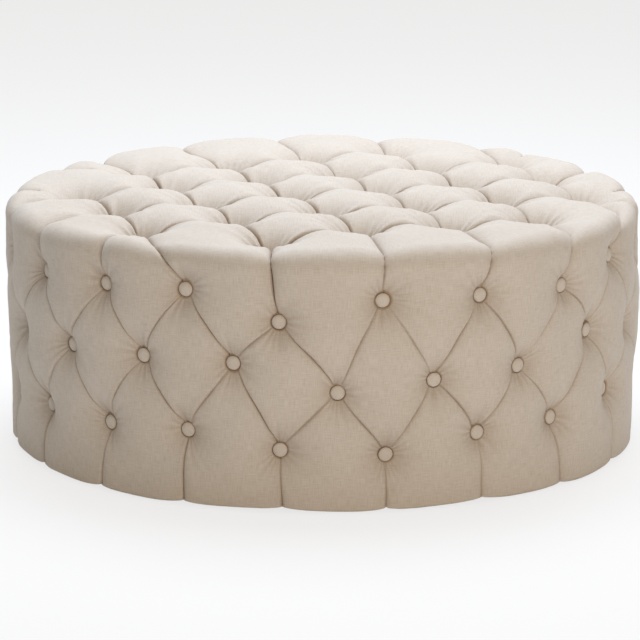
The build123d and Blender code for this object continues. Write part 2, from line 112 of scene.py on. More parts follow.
def add_node(
    tree: bpy.types.NodeTree,
    kind: str,
    inputs: dict[Any, Any] | None = None,
    stops: tuple[tuple[float, str], ...] = (),
    **settings: Any,
) -> bpy.types.Node:
    """Adds a node with its settings, its socket values and its links.

    Args:
        tree: the node tree to add to.
        kind: the node's type name.
        inputs: socket names or numbers, each with a value or with the socket to link from.
        stops: place and hex colour of each stop in order, where the node has a colour ramp.
        **settings: properties of the node itself.

    Returns:
        The new node.
    """
    node = tree.nodes.new(kind)
    for name, value in settings.items():
        setattr(node, name, value)
    for number, (place, colour) in enumerate(stops):
        elements = node.color_ramp.elements
        element = elements[number] if number < len(elements) else elements.new(1.0)
        element.position, element.color = place, linear(colour)
    set_inputs(tree, node, inputs or {})
    return node


def smooth_step(values: np.ndarray) -> np.ndarray:
    """Eases values from 0 to 1, clipped outside that range."""
    eased = np.clip(values, 0.0, 1.0)
    return eased * eased * (3 - 2 * eased)


def read_points(mesh: bpy.types.Mesh) -> np.ndarray:
    """Reads where a mesh's vertices are.

    Args:
        mesh: the mesh.

    Returns:
        One point a vertex.
    """
    points = np.empty(len(mesh.vertices) * 3)
    mesh.vertices.foreach_get("co", points)
    return points.reshape(-1, 3)


def write_points(mesh: bpy.types.Mesh, points: np.ndarray) -> None:
    """Moves a mesh's vertices to the given points."""
    mesh.vertices.foreach_set("co", points.ravel())
    mesh.update()


def read_counts(items: Any, name: str) -> np.ndarray:
    """Reads a whole-number property of all of a mesh's loops or faces.

    Args:
        items: the mesh's loops or faces.
        name: the property's name.

    Returns:
        One number an item.
    """
    counts = np.empty(len(items), dtype=np.int64)
    items.foreach_get(name, counts)
    return counts


@contextmanager
def editing(mesh: bpy.types.Mesh) -> Iterator[bmesh.types.BMesh]:
    """Opens a mesh for bmesh operators and writes the result back to it.

    Args:
        mesh: the mesh to change.

    Yields:
        The mesh's faces, edges and vertices, ready to be worked on.
    """
    bm = bmesh.new()
    bm.from_mesh(mesh)
    yield bm
    bm.to_mesh(mesh)
    bm.free()


def finish_piece(
    mesh: bpy.types.Mesh, name: str, finish: Finish, nodes: tuple[str, ...]
) -> bpy.types.Object:
    """Makes a mesh into a finished piece that rides on the body and stands for CAD nodes.

    Args:
        mesh: the mesh, with its place in its vertices.
        name: the piece's name.
        finish: the finish to give it.
        nodes: the CAD nodes that it replaces.

    Returns:
        The piece.
    """
    piece = bpy.data.objects.new(name, mesh)
    bpy.context.scene.collection.objects.link(piece)
    mesh.shade_smooth()
    mesh.materials.append(finish.material())
    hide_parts(*nodes)
    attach(piece, BODY)
    log.info("%s: %d vertices, %d faces", name, len(mesh.vertices), len(mesh.polygons))
    return piece


# Finishes


@dataclass(frozen=True)
class Finish:
    """A real material and how its surface was made; each kind paints its own nodes."""

    name: str

    def material(self) -> bpy.types.Material:
        """Gives the finish as a material, which is made once under its name.

        Returns:
            The material.
        """
        known = bpy.data.materials.get(self.name)
        if known:
            return known
        made = bpy.data.materials.new(self.name)
        made.use_nodes = True
        self.paint(made.node_tree, made.node_tree.nodes["Principled BSDF"])
        return made

    def paint(self, tree: bpy.types.NodeTree, surface: bpy.types.Node) -> None:
        """Adds the finish's own nodes to a new material.

        Args:
            tree: the material's node tree.
            surface: its Principled shader.
        """
        raise NotImplementedError

    @staticmethod
    def dress(
        tree: bpy.types.NodeTree,
        surface: bpy.types.Node,
        pattern: bpy.types.NodeSocket,
        tones: tuple[tuple[float, str], ...],
        relief: tuple[bpy.types.NodeSocket, float, float],
        roughness: float,
    ) -> None:
        """Colours the shader by a pattern, and gives it a relief and a roughness.

        Args:
            tree: the material's node tree.
            surface: its Principled shader.
            pattern: the socket of the pattern that colours it.
            tones: place and hex colour of each tone along that pattern.
            relief: the socket of the heights, their strength, and their depth in millimetres.
            roughness: the roughness, the same all over.
        """
        heights, strength, depth = relief
        colour = add_node(tree, "ShaderNodeValToRGB", {"Fac": pattern}, tones)
        bump = {"Height": heights, "Strength": strength, "Distance": depth * MM}
        look = {
            "Base Color": colour.outputs["Color"],
            "Normal": add_node(tree, "ShaderNodeBump", bump).outputs["Normal"],
            "Roughness": roughness,
        }
        set_inputs(tree, surface, look)


@dataclass(frozen=True)
class LinenCloth(Finish):
    """Plain-woven linen look: thick and thin yarns cross at right angles, in flecked beige."""

    pale: str = "#DDD3C7"
    mid: str = "#D4C9BB"
    dark: str = "#C8BBAB"
    # The real yarns lie about 0.5 mm apart, too fine to show, so the yarns that are drawn
    # are the slubs of every other one.
    yarn_spacing: float = 1.1
    slub_length: float = 17.0
    weave_relief: float = 0.12
    # Painted shade: cloth in a fold or well, and under a cap's edge, is darkened towards this
    # browner beige.
    painted_shade_tone: str = "#C2AE98"

    def paint(self, tree: bpy.types.NodeTree, surface: bpy.types.Node) -> None:
        """Adds crossing slubs, a fine weave relief, a soft cloudiness, and painted shade in folds
        and wells.

        Args:
            tree: the material's node tree.
            surface: its Principled shader.
        """
        cloth = add_node(tree, "ShaderNodeUVMap", uv_map=CLOTH_MAP).outputs["UV"]
        across, along = 1 / (self.yarn_spacing * MM), 1 / (self.slub_length * MM)
        slubs = []
        for scale in ((along, across, 1.0), (across, along, 1.0)):
            run = add_node(tree, "ShaderNodeMapping", {"Vector": cloth, "Scale": scale})
            yarn = {"Vector": run.outputs["Vector"], "Scale": 1.0, "Detail": 2.0, "Roughness": 0.6}
            slubs.append(add_node(tree, "ShaderNodeTexNoise", yarn).outputs["Fac"])
        crossed = add_node(tree, "ShaderNodeMath", {0: slubs[0], 1: slubs[1]}, operation="ADD")
        weave = add_node(
            tree,
            "ShaderNodeMapRange",
            {"Value": crossed.outputs[0], "From Min": 0.62, "From Max": 1.38},
        ).outputs["Result"]
        place = add_node(tree, "ShaderNodeTexCoord").outputs["Object"]
        cloud = add_node(
            tree, "ShaderNodeTexNoise", {"Vector": place, "Scale": 9.0, "Detail": 3.0}
        ).outputs["Fac"]
        blend = add_node(
            tree, "ShaderNodeMix", {"Factor": 0.22, 2: weave, 3: cloud}, data_type="FLOAT"
        ).outputs[0]
        tones = ((0.18, self.dark), (0.5, self.mid), (0.82, self.pale))
        colour = add_node(tree, "ShaderNodeValToRGB", {"Fac": blend}, tones)
        # Painted shade: the colour is multiplied towards the browner beige as far as the attribute
        # says the cloth lies in a fold, a well or under a cap.
        painted_shade = add_node(tree, "ShaderNodeAttribute", attribute_name=PAINTED_SHADE_MAP).outputs["Fac"]
        pressed = add_node(
            tree,
            "ShaderNodeMix",
            {0: painted_shade, 6: colour.outputs["Color"], 7: linear(self.painted_shade_tone)},
            data_type="RGBA",
            blend_type="MULTIPLY",
        )
        relief = add_node(
            tree,
            "ShaderNodeBump",
            {"Height": weave, "Strength": 0.6, "Distance": self.weave_relief * MM},
        )
        look = {
            "Base Color": pressed.outputs[2],
            "Normal": relief.outputs["Normal"],
            "Roughness": 0.92,
            "Specular IOR Level": 0.25,
            "Sheen Weight": 0.12,
            "Sheen Roughness": 0.5,
        }
        set_inputs(tree, surface, look)


class Grain(Enum):
    """Which object axis a timber's grain runs along."""

    LENGTHWAYS_X = (0.06, 1.0, 1.0)
    LENGTHWAYS_Y = (1.0, 0.06, 1.0)
    UPRIGHT = (1.0, 1.0, 0.06)


@dataclass(frozen=True)
class SawnTimber(Finish):
    """Sawn softwood: pale early wood with darker late-wood lines and a matt, fuzzy face."""

    early: str = "#E6CDA2"
    late: str = "#C79A63"
    ring_width: float = 7.0
    grain: Grain = Grain.UPRIGHT

    def paint(self, tree: bpy.types.NodeTree, surface: bpy.types.Node) -> None:
        """Adds growth rings drawn out along the grain, and pores.

        Args:
            tree: the material's node tree.
            surface: its Principled shader.
        """
        place = add_node(tree, "ShaderNodeTexCoord").outputs["Object"]
        run = add_node(tree, "ShaderNodeMapping", {"Vector": place, "Scale": self.grain.value})
        rings = add_node(
            tree,
            "ShaderNodeTexWave",
            {
                "Vector": run.outputs["Vector"],
                "Scale": 1 / (self.ring_width * MM) / WHOLE_TURN,
                "Distortion": 5.0,
                "Detail": 3.0,
                "Detail Scale": 2.0,
            },
            wave_type="RINGS",
            rings_direction="SPHERICAL",
        ).outputs["Fac"]
        fibres = add_node(
            tree,
            "ShaderNodeTexNoise",
            {"Vector": run.outputs["Vector"], "Scale": 900.0, "Detail": 3.0},
        ).outputs["Fac"]
        tones = ((0.25, self.early), (0.9, self.late))
        self.dress(tree, surface, rings, tones, (fibres, 0.4, 0.25), 0.72)


@dataclass(frozen=True)
class Plywood(Finish):
    """Sanded plywood: rotary-cut faces with long flames, and thin plies across the edge."""

    face: str = "#D9B98A"
    glue_line: str = "#A77C4B"
    ply_thickness: float = 1.5

    def paint(self, tree: bpy.types.NodeTree, surface: bpy.types.Node) -> None:
        """Adds stacked plies up the thickness and drawn-out face grain.

        Args:
            tree: the material's node tree.
            surface: its Principled shader.
        """
        place = add_node(tree, "ShaderNodeTexCoord").outputs["Object"]
        flat = add_node(tree, "ShaderNodeMapping", {"Vector": place, "Scale": (3.0, 40.0, 3.0)})
        flames = add_node(
            tree,
            "ShaderNodeTexNoise",
            {"Vector": flat.outputs["Vector"], "Scale": 1.6, "Detail": 5.0, "Distortion": 0.8},
        ).outputs["Fac"]
        plies = add_node(
            tree,
            "ShaderNodeTexWave",
            {"Vector": place, "Scale": 1 / (self.ply_thickness * MM) / WHOLE_TURN},
            bands_direction="Z",
        ).outputs["Fac"]
        mixed = add_node(
            tree, "ShaderNodeMix", {"Factor": 0.35, 2: flames, 3: plies}, data_type="FLOAT"
        ).outputs[0]
        tones = ((0.25, self.glue_line), (0.55, self.face))
        self.dress(tree, surface, mixed, tones, (flames, 0.3, 0.15), 0.6)


@dataclass(frozen=True)
class ZincPlatedSteel(Finish):
    """Zinc-plated or bright drawn steel: a cool grey metal with a soft, uneven gloss."""

    shade: str = "#B9BABC"
    cloud_size: float = 4.0
    roughness: float = 0.34

    def paint(self, tree: bpy.types.NodeTree, surface: bpy.types.Node) -> None:
        """Adds a metal whose gloss varies in small clouds, with fine drawing marks.

        Args:
            tree: the material's node tree.
            surface: its Principled shader.
        """
        place = add_node(tree, "ShaderNodeTexCoord").outputs["Object"]
        cloud = add_node(
            tree,
            "ShaderNodeTexNoise",
            {"Vector": place, "Scale": 1 / (self.cloud_size * MM), "Detail": 2.0},
        ).outputs["Fac"]
        gloss = add_node(
            tree,
            "ShaderNodeMapRange",
            {"Value": cloud, "To Min": self.roughness - 0.08, "To Max": self.roughness + 0.12},
        )
        relief = add_node(
            tree, "ShaderNodeBump", {"Height": cloud, "Strength": 0.2, "Distance": 0.03 * MM}
        )
        look = {
            "Base Color": linear(self.shade),
            "Normal": relief.outputs["Normal"],
            "Roughness": gloss.outputs["Result"],
            "Metallic": 1.0,
        }
        set_inputs(tree, surface, look)


@dataclass(frozen=True)
class WaxedTwine(Finish):
    """Waxed cotton twine: twisted strands, off-white, with a faint sheen."""

    strand: str = "#E6DECB"
    painted_groove_shade: str = "#A99C84"
    twist_pitch: float = 2.4

    def paint(self, tree: bpy.types.NodeTree, surface: bpy.types.Node) -> None:
        """Adds the slanting strands of the twist, with painted shade in the grooves between them.

        Args:
            tree: the material's node tree.
            surface: its Principled shader.
        """
        place = add_node(tree, "ShaderNodeTexCoord").outputs["Object"]
        twist = add_node(
            tree,
            "ShaderNodeTexWave",
            {
                "Vector": place,
                "Scale": 1 / (self.twist_pitch * MM) / WHOLE_TURN,
                "Distortion": 0.6,
            },
            bands_direction="DIAGONAL",
        ).outputs["Fac"]
        # Painted shade: the grooves between the strands are darker.
        tones = ((0.1, self.painted_groove_shade), (0.5, self.strand))
        self.dress(tree, surface, twist, tones, (twist, 0.7, 0.2), 0.6)


@dataclass(frozen=True)
class SpunbondCloth(Finish):
    """Black spun-bonded dust cloth: matt felted fibres pressed with small bond points."""

    cloth: str = "#1C1C1E"
    bond: str = "#0E0E10"
    bond_spacing: float = 2.2

    def paint(self, tree: bpy.types.NodeTree, surface: bpy.types.Node) -> None:
        """Adds the bond points and the fibres' fleck.

        Args:
            tree: the material's node tree.
            surface: its Principled shader.
        """
        place = add_node(tree, "ShaderNodeTexCoord").outputs["Object"]
        points = add_node(
            tree,
            "ShaderNodeTexVoronoi",
            {"Vector": place, "Scale": 1 / (self.bond_spacing * MM), "Randomness": 0.15},
        ).outputs["Distance"]
        tones = ((0.15, self.bond), (0.4, self.cloth))
        self.dress(tree, surface, points, tones, (points, 0.6, 0.2), 0.95)


@dataclass(frozen=True)
class MouldedPlastic(Finish):
    """Injection-moulded polypropylene: near-black, with a fine spark-eroded texture."""

    shade: str = "#232325"
    scuffed: str = "#2F2F31"
    grit: float = 0.6

    def paint(self, tree: bpy.types.NodeTree, surface: bpy.types.Node) -> None:
        """Adds the fine mould texture and faint scuffs.

        Args:
            tree: the material's node tree.
            surface: its Principled shader.
        """
        place = add_node(tree, "ShaderNodeTexCoord").outputs["Object"]
        texture = add_node(
            tree, "ShaderNodeTexNoise", {"Vector": place, "Scale": 1 / (self.grit * MM)}
        ).outputs["Fac"]
        scuffs = add_node(
            tree, "ShaderNodeTexNoise", {"Vector": place, "Scale": 90.0, "Detail": 4.0}
        ).outputs["Fac"]
        tones = ((0.45, self.shade), (0.8, self.scuffed))
        self.dress(tree, surface, scuffs, tones, (texture, 0.3, 0.05), 0.5)


@dataclass(frozen=True)
class OpenCellFoam(Finish):
    """Cut polyurethane foam: creamy, matt, pitted all over with open cells."""

    skin: str = "#F0E3B8"
    painted_pit_shade: str = "#CDBB85"
    cell_size: float = 1.4

    def paint(self, tree: bpy.types.NodeTree, surface: bpy.types.Node) -> None:
        """Adds the cells, with painted shade in their pits.

        Args:
            tree: the material's node tree.
            surface: its Principled shader.
        """
        place = add_node(tree, "ShaderNodeTexCoord").outputs["Object"]
        cells = add_node(
            tree, "ShaderNodeTexVoronoi", {"Vector": place, "Scale": 1 / (self.cell_size * MM)}
        ).outputs["Distance"]
        # Painted shade: the middle of each cell is darker.
        tones = ((0.1, self.painted_pit_shade), (0.45, self.skin))
        self.dress(tree, surface, cells, tones, (cells, 0.8, 0.6), 0.97)


# Woven flax-and-polyester cloth, left matt: oatmeal with thick and thin yarns.
LINEN = LinenCloth("linen_cloth")
# Knots and rings stay pale; used for the upright posts.
PINE_UPRIGHT = SawnTimber("sawn_pine_upright")
# The same pine with its grain along the long brace.
PINE_ALONG_Y = SawnTimber("sawn_pine_along_y", grain=Grain.LENGTHWAYS_Y)
# The same pine with its grain along the cross braces.
PINE_ALONG_X = SawnTimber("sawn_pine_along_x", grain=Grain.LENGTHWAYS_X)
# Birch-faced plywood, sanded and left bare.
PLYWOOD = Plywood("sanded_plywood")
# Bright zinc on screws, nails, pins and staples.
STEEL = ZincPlatedSteel("zinc_plated_steel")
# Stamped steel of the buttons' plates and wire eyes, a little duller.
BUTTON_STEEL = ZincPlatedSteel("stamped_button_steel", shade="#A9AAAD", roughness=0.42)
# Cotton twine with wax on it, which keeps a knot.
TWINE = WaxedTwine("waxed_cotton_twine")
# The black cloth stapled under most seats.
DUST_CLOTH = SpunbondCloth("spunbond_dust_cloth")
# Nail-on glides of moulded plastic.
GLIDE_PLASTIC = MouldedPlastic("moulded_glide_plastic")
# Upholstery foam as it comes off the saw.
FOAM = OpenCellFoam("cut_upholstery_foam")


# The drum's outline and the tufting plan


@dataclass
class DrumOutline:
    """The smooth drum that the puffs' crests touch, walked from its middle out and down."""

    radius: float = 508.0
    height: float = 409.0
    crown_fall: float = 10.0
    crown_start: float = 250.0
    shoulder_radius: float = 34.0
    hem_draw_in: float = 5.0
    hem_height: float = 3.4
    hem_corner: float = 4.0
    hem_inner_radius: float = 396.8
    # Where the turned-under hem has its first fold, counted inwards from its corner.
    hem_fold: float = 30.0
    # How much of an easing curve the crown follows, over which width the rest of its fall is
    # made up before the shoulder, and the power that squares the shoulder a little.
    crown_ease: float = 0.8
    rim_ease: float = 60.0
    shoulder_bend: float = 0.92
    # Points that the crown, the shoulder, the side and the hem's corner are first walked in.
    crown_points: int = 240
    shoulder_points: int = 60
    side_points: int = 200
    corner_points: int = 12
    # Entries of the even tables, how many of them a normal is smoothed over, and how many
    # are stepped over in a search.
    table_size: int = 900
    blur_size: int = 9
    search_step: int = 3

    def __post_init__(self) -> None:
        """Walks the outline once and keeps it as tables over the distance walked."""
        shoulder = self.radius - self.shoulder_radius
        flat = np.linspace(0.0, shoulder, self.crown_points)
        rim = self.height - self.crown_fall
        crown = (flat - self.crown_start) / (shoulder - self.crown_start)
        top = self.height - self.crown_fall * smooth_step(crown * self.crown_ease)
        top += (rim - top[-1]) * smooth_step((flat - shoulder + self.rim_ease) / self.rim_ease)
        turn = np.linspace(0.0, math.pi / 2, self.shoulder_points)[1:]
        round_r = shoulder + self.shoulder_radius * np.sin(turn) ** self.shoulder_bend
        round_z = rim - self.shoulder_radius * (1 - np.cos(turn) ** self.shoulder_bend)
        low = self.hem_height + self.hem_corner
        down = np.linspace(round_z[-1], low, self.side_points)[1:]
        fall = (round_z[-1] - down) / (round_z[-1] - low)
        side_r = self.radius - self.hem_draw_in * fall**2
        corner = np.linspace(0.0, math.pi / 2, self.corner_points)[1:]
        corner_r = side_r[-1] - self.hem_corner * (1 - np.cos(corner))
        corner_z = low - self.hem_corner * np.sin(corner)
        self.r = np.concatenate([flat, round_r, side_r, corner_r]) * MM
        self.z = np.concatenate([top, round_z, down, corner_z]) * MM
        self.walk = np.concatenate([[0.0], np.cumsum(np.hypot(np.diff(self.r), np.diff(self.z)))])
        even = np.linspace(0.0, self.walk[-1], self.table_size)
        self.r, self.z = np.interp(even, self.walk, self.r), np.interp(even, self.walk, self.z)
        self.walk = even
        slope_r, slope_z = np.gradient(self.r, even), np.gradient(self.z, even)
        steep = np.hypot(slope_r, slope_z)
        self.out_r = self.blurred(-slope_z / steep)
        self.out_z = self.blurred(slope_r / steep)

    def blurred(self, values: np.ndarray) -> np.ndarray:
        """Smooths a table without shortening it."""
        blur = np.ones(self.blur_size) / self.blur_size
        return np.convolve(np.pad(values, self.blur_size // 2, mode="edge"), blur, mode="valid")

    @property
    def length(self) -> float:
        """The whole walk from the middle to the hem's corner, in metres."""
        return float(self.walk[-1])

    def walk_at_height(self, height: float) -> float:
        """Gives how far along the outline a height on the side lies.

        Args:
            height: the height in millimetres.

        Returns:
            The distance walked, in metres.
        """
        side = self.walk > self.walk[np.argmax(self.r)]
        return float(np.interp(-height * MM, -self.z[side], self.walk[side]))

    def nearest_walk(self, radius: np.ndarray, height: np.ndarray) -> np.ndarray:
        """Gives how far along the outline the places nearest to some points lie.

        Args:
            radius: the points' distances from the middle axis, in metres.
            height: their heights, in metres.

        Returns:
            The distances walked, in metres.
        """
        nearest = np.full(len(radius), np.inf)
        found = np.zeros(len(radius))
        for entry in range(0, self.table_size, self.search_step):
            walk, r, z = self.walk[entry], self.r[entry], self.z[entry]
            gap = np.hypot(radius - r, height - z)
            closer = gap < nearest
            nearest[closer] = gap[closer]
            found[closer] = walk
        return found

    def surface(self, plan: np.ndarray) -> tuple[np.ndarray, np.ndarray]:
        """Lays points of the flat round plan on the drum.

        Args:
            plan: points of the plan, whose distance from the middle is the distance walked.

        Returns:
            The points on the drum and the outward normals there.
        """
        reach = np.hypot(plan[:, 0], plan[:, 1])
        way = plan / np.maximum(reach, TINY)[:, None]
        tables = (self.r, self.z, self.out_r, self.out_z)
        r, z, out_r, out_z = (np.interp(reach, self.walk, table) for table in tables)
        size = np.hypot(out_r, out_z)
        points = np.column_stack([way * r[:, None], z])
        normals = np.column_stack([way * (out_r / size)[:, None], out_z / size])
        return points, normals


class Row(Enum):
    """The rows of buttons round the side, each with its height and half-column step."""

    UPPER = (320.0, 0.0)
    MIDDLE = (210.0, 0.5)
    LOWER = (103.0, 0.0)

    def __init__(self, height: float, step: float) -> None:
        """Names the row's height in millimetres and its step in columns."""
        self.height, self.step = height, step


class Seam(Enum):
    """The kinds of pleat between buttons.

    Each gives its depth at the well or upper end, in the middle and at the other end, how
    far its puffs reach, how high its lip stands, and how deep the slit along it is.
    """

    TOP = (26.0, 24.0, 26.0, 70.0, 3.2, 6.0)
    RIM = (24.0, 18.0, 8.0, 68.0, 1.2, 4.0)
    SOFT_RIM = (24.0, 24.0, 12.0, 64.0, 0.0, 2.4)
    FADING = (8.0, 20.0, 10.0, 60.0, 0.0, 1.8)
    SIDE = (6.0, 6.0, 6.0, 62.0, 0.7, 3.0)
    HEM = (6.0, 5.0, 6.0, 56.0, 0.6, 3.2)


@dataclass
class Pleat:
    """A pleat between two buttons, or from a button to the hem, on the flat plan."""

    start: np.ndarray
    end: np.ndarray
    seam: Seam


@dataclass
class TuftPlan:
    """Where the buttons sit on the flat plan of the cover, and which pleats join them."""

    outline: DrumOutline
    columns: int = 20
    first_angle: float = -7.0
    top_cells: tuple[int, int] = (5, 4)
    top_pitch: float = 149.0
    row_pitch: float = 147.0
    top_turn: float = 22.0
    grid_aside: float = 13.0
    grid_forward: float = 14.0
    top_margin: float = 85.0
    # How far the cloth wanders off the line, over which lengths, and from which share of the
    # whole walk the wandering dies away before the hem, and over how much of it.
    wander: float = 3.0
    wander_lengths: tuple[float, ...] = (310.0, 190.0, 120.0)
    still_from: float = 0.9
    still_over: float = 0.08
    seed: int = 11
    # Which outer well each upper button's pleat runs to, in half pitches of the top's grid.
    ties: tuple[tuple[int, tuple[int, int], Seam], ...] = (
        (-4, (-5, 2), Seam.SOFT_RIM),
        (-3, (-5, 0), Seam.SOFT_RIM),
        (-1, (-5, -2), Seam.RIM),
        (0, (-3, -4), Seam.RIM),
        (1, (-1, -4), Seam.RIM),
        (2, (1, -4), Seam.RIM),
        (3, (3, -4), Seam.SOFT_RIM),
        (4, (5, -2), Seam.SOFT_RIM),
        (5, (5, -2), Seam.SOFT_RIM),
        (7, (5, 0), Seam.SOFT_RIM),
        (9, (5, 2), Seam.RIM),
        (10, (3, 4), Seam.RIM),
        (11, (1, 4), Seam.RIM),
        (12, (-1, 4), Seam.RIM),
        (13, (-3, 4), Seam.SOFT_RIM),
    )
    fading_share: float = 0.62
    # Degrees round and millimetres up that the buttons at the back stray by.
    stray: tuple[float, float] = (0.24, 3.52)
    # Where the tufter pulled the front buttons off the line: degrees round and millimetres up.
    pulls: dict[Row, dict[int, tuple[float, float]]] = field(
        default_factory=lambda: {
            Row.UPPER: {
                -2: (0.3, 5.0), -1: (0.2, 14.0), 0: (-0.3, -27.0), 1: (0.0, 3.0),
                2: (0.0, 2.0), 3: (0.7, -7.0), 4: (1.2, 10.0),
            },
            Row.MIDDLE: {
                -3: (0.2, -3.0), -2: (0.3, 14.0), -1: (0.1, 14.0), 0: (0.4, -26.0),
                1: (-0.1, -16.0), 2: (-0.4, -8.0), 3: (0.5, 20.0),
            },
            Row.LOWER: {
                -3: (0.3, -3.0), -2: (1.5, 4.0), -1: (0.3, 11.0), 0: (-0.4, -11.0),
                1: (0.1, -16.0), 2: (-0.5, 7.0), 3: (-1.1, 1.0), 4: (-0.4, 15.0),
            },
        }
    )
    wells: list[np.ndarray] = field(default_factory=list)
    rows: dict[Row, list[np.ndarray]] = field(default_factory=dict)
    pleats: list[Pleat] = field(default_factory=list)

    @property
    def spots(self) -> list[np.ndarray]:
        """All the buttons' plan points: the top's, and then the side's row by row."""
        return [*self.wells, *(spot for row in self.rows.values() for spot in row)]

    def ring_point(self, column: float, reach: float) -> np.ndarray:
        """Gives the plan point of a column at a distance walked from the middle."""
        angle = math.radians(self.first_angle + column * 360 / self.columns)
        return np.array([reach * math.sin(angle), -reach * math.cos(angle)])

    def grid_spot(self, right: float, up: float) -> np.ndarray:
        """Gives the plan point of a place on the top's grid.

        Args:
            right: how far right it lies, counted in half pitches.
            up: how far up.

        Returns:
            The plan point, in metres.
        """
        x = right * self.top_pitch / 2 + self.grid_aside
        y = up * self.row_pitch / 2 - self.grid_forward
        cos, sin = math.cos(math.radians(self.top_turn)), math.sin(math.radians(self.top_turn))
        return np.array([x * cos - y * sin, x * sin + y * cos]) * MM

    def grid_place(self, plan: np.ndarray) -> np.ndarray:
        """Gives where plan points lie on the top's grid, counted in half pitches.

        Args:
            plan: points of the flat plan.

        Returns:
            How far right and up each lies.
        """
        turn = math.radians(-self.top_turn)
        x = plan[:, 0] * math.cos(turn) - plan[:, 1] * math.sin(turn)
        y = plan[:, 0] * math.sin(turn) + plan[:, 1] * math.cos(turn)
        right = (x / MM - self.grid_aside) / self.top_pitch
        up = (y / MM + self.grid_forward) / self.row_pitch
        return 2 * np.column_stack([right, up])

    def cage(self) -> bmesh.types.BMesh:
        """Draws the flat plan as a coarse cage whose corners are the buttons.

        Returns:
            The cage, with the pleats' edges marked sharp.
        """
        bm = bmesh.new()
        along, across = self.top_cells
        bmesh.ops.create_grid(bm, x_segments=along, y_segments=across, size=0.5)
        size = (along * self.top_pitch * MM, across * self.row_pitch * MM)
        spread = Matrix.Diagonal((*size, 1.0, 1.0))
        shift = Matrix.Translation((self.grid_aside * MM, -self.grid_forward * MM, 0.0))
        turn = Matrix.Rotation(math.radians(self.top_turn), 4, "Z")
        bmesh.ops.transform(bm, matrix=turn @ shift @ spread, verts=bm.verts)
        edge = (self.outline.radius - self.top_margin) * MM
        beyond = [vert for vert in bm.verts if vert.co.length > edge]
        bmesh.ops.delete(bm, geom=beyond, context="VERTS")
        self.wells = [np.array(vert.co.xy) for vert in bm.verts]
        self.sew(bm.edges, Seam.TOP)
        inner_loop = [one for one in bm.edges if one.is_boundary]

        chance = np.random.default_rng(self.seed)
        for row in Row:
            self.rows[row] = []
            for column in range(self.columns):
                aside, up = self.pull_on(row, column, chance)
                turned = row.step + aside * self.columns / 360
                reach = self.outline.walk_at_height(row.height + up)
                self.rows[row].append(self.ring_point(column + turned, reach))
        rim = [self.ring_point(column, self.outline.length) for column in range(self.columns)]
        upper, middle, lower, hem = (
            [bm.verts.new((*spot, 0.0)) for spot in ring] for ring in (*self.rows.values(), rim)
        )
        for column in range(self.columns):
            after = (column + 1) % self.columns
            bm.faces.new((upper[column], middle[column], upper[after]))
            bm.faces.new((middle[column - 1], lower[column], middle[column], upper[column]))
            bm.faces.new((lower[column], lower[after], middle[column]))
            bm.faces.new((lower[column], hem[column], hem[after], lower[after]))
            slants = [(upper[column], middle[column]), (middle[column], upper[after])]
            slants += [(middle[column], lower[column]), (middle[column], lower[after])]
            self.sew([bm.edges.get(pair) for pair in slants], Seam.SIDE)
            self.sew([bm.edges.get((lower[column], hem[column]))], Seam.HEM)
        self.fill_rim(bm, upper, inner_loop)
        bmesh.ops.recalc_face_normals(bm, faces=bm.faces)
        if sum(face.normal.z for face in bm.faces) < 0:
            bmesh.ops.reverse_faces(bm, faces=bm.faces)
        return bm

    def pull_on(
        self, row: Row, column: int, chance: np.random.Generator
    ) -> tuple[float, float]:
        """Tells how far a side button was pulled off its regular place.

        Args:
            row: the button's row.
            column: its column, counted from the front.
            chance: the source of the small strays at the back.

        Returns:
            Degrees round and millimetres up.
        """
        stray = chance.normal(size=2) * self.stray
        half = self.columns // 2
        known = self.pulls[row].get((column + half) % self.columns - half)
        return known or (float(stray[0]), float(stray[1]))

    def sew(self, edges: Any, seam: Seam) -> None:
        """Marks cage edges as pleats of one kind and keeps them.

        Args:
            edges: the cage edges.
            seam: the kind of pleat.
        """
        for one in edges:
            one.smooth = False
            start, end = (np.array(vert.co.xy) for vert in one.verts)
            if np.hypot(*start) < np.hypot(*end):
                start, end = end, start
            self.pleats.append(Pleat(start, end, seam))

    def fill_rim(
        self,
        bm: bmesh.types.BMesh,
        upper: list[bmesh.types.BMVert],
        inner_loop: list[bmesh.types.BMEdge],
    ) -> None:
        """Fills the cage over the rim, a sector at a time between the tied buttons.

        Args:
            bm: the cage.
            upper: the corners that are upper buttons.
            inner_loop: the border of the top's squares.
        """
        border = {vert for one in inner_loop for vert in one.verts}
        tied = []
        for column, (right, up), seam in self.ties:
            spot = Vector((*self.grid_spot(right, up), 0.0))
            well = min(border, key=lambda vert: (vert.co - spot).length)
            tied.append((column % self.columns, well, seam))
        ahead = self.loop_order(inner_loop, tied[0][1], tied[1][1])
        for number, (column, well, _) in enumerate(tied):
            next_column, next_well, _ = tied[(number + 1) % len(tied)]
            outer = [column]
            while outer[-1] != next_column:
                outer.append((outer[-1] + 1) % self.columns)
            inner = [well]
            while inner[-1] is not next_well:
                inner.append(ahead[inner[-1]])
            sector = bm.faces.new([upper[place] for place in outer] + inner[::-1])
            cut = bmesh.ops.triangulate(bm, faces=[sector], ngon_method="BEAUTY")
            for place in outer[1:-1]:
                spokes = [
                    one
                    for one in cut["edges"]
                    if upper[place] in one.verts and one.other_vert(upper[place]) in border
                ]
                if spokes:
                    self.sew_fading(min(spokes, key=lambda one: one.calc_length()), upper[place])
        for column, well, seam in tied:
            self.sew([bm.edges.get((upper[column], well))], seam)

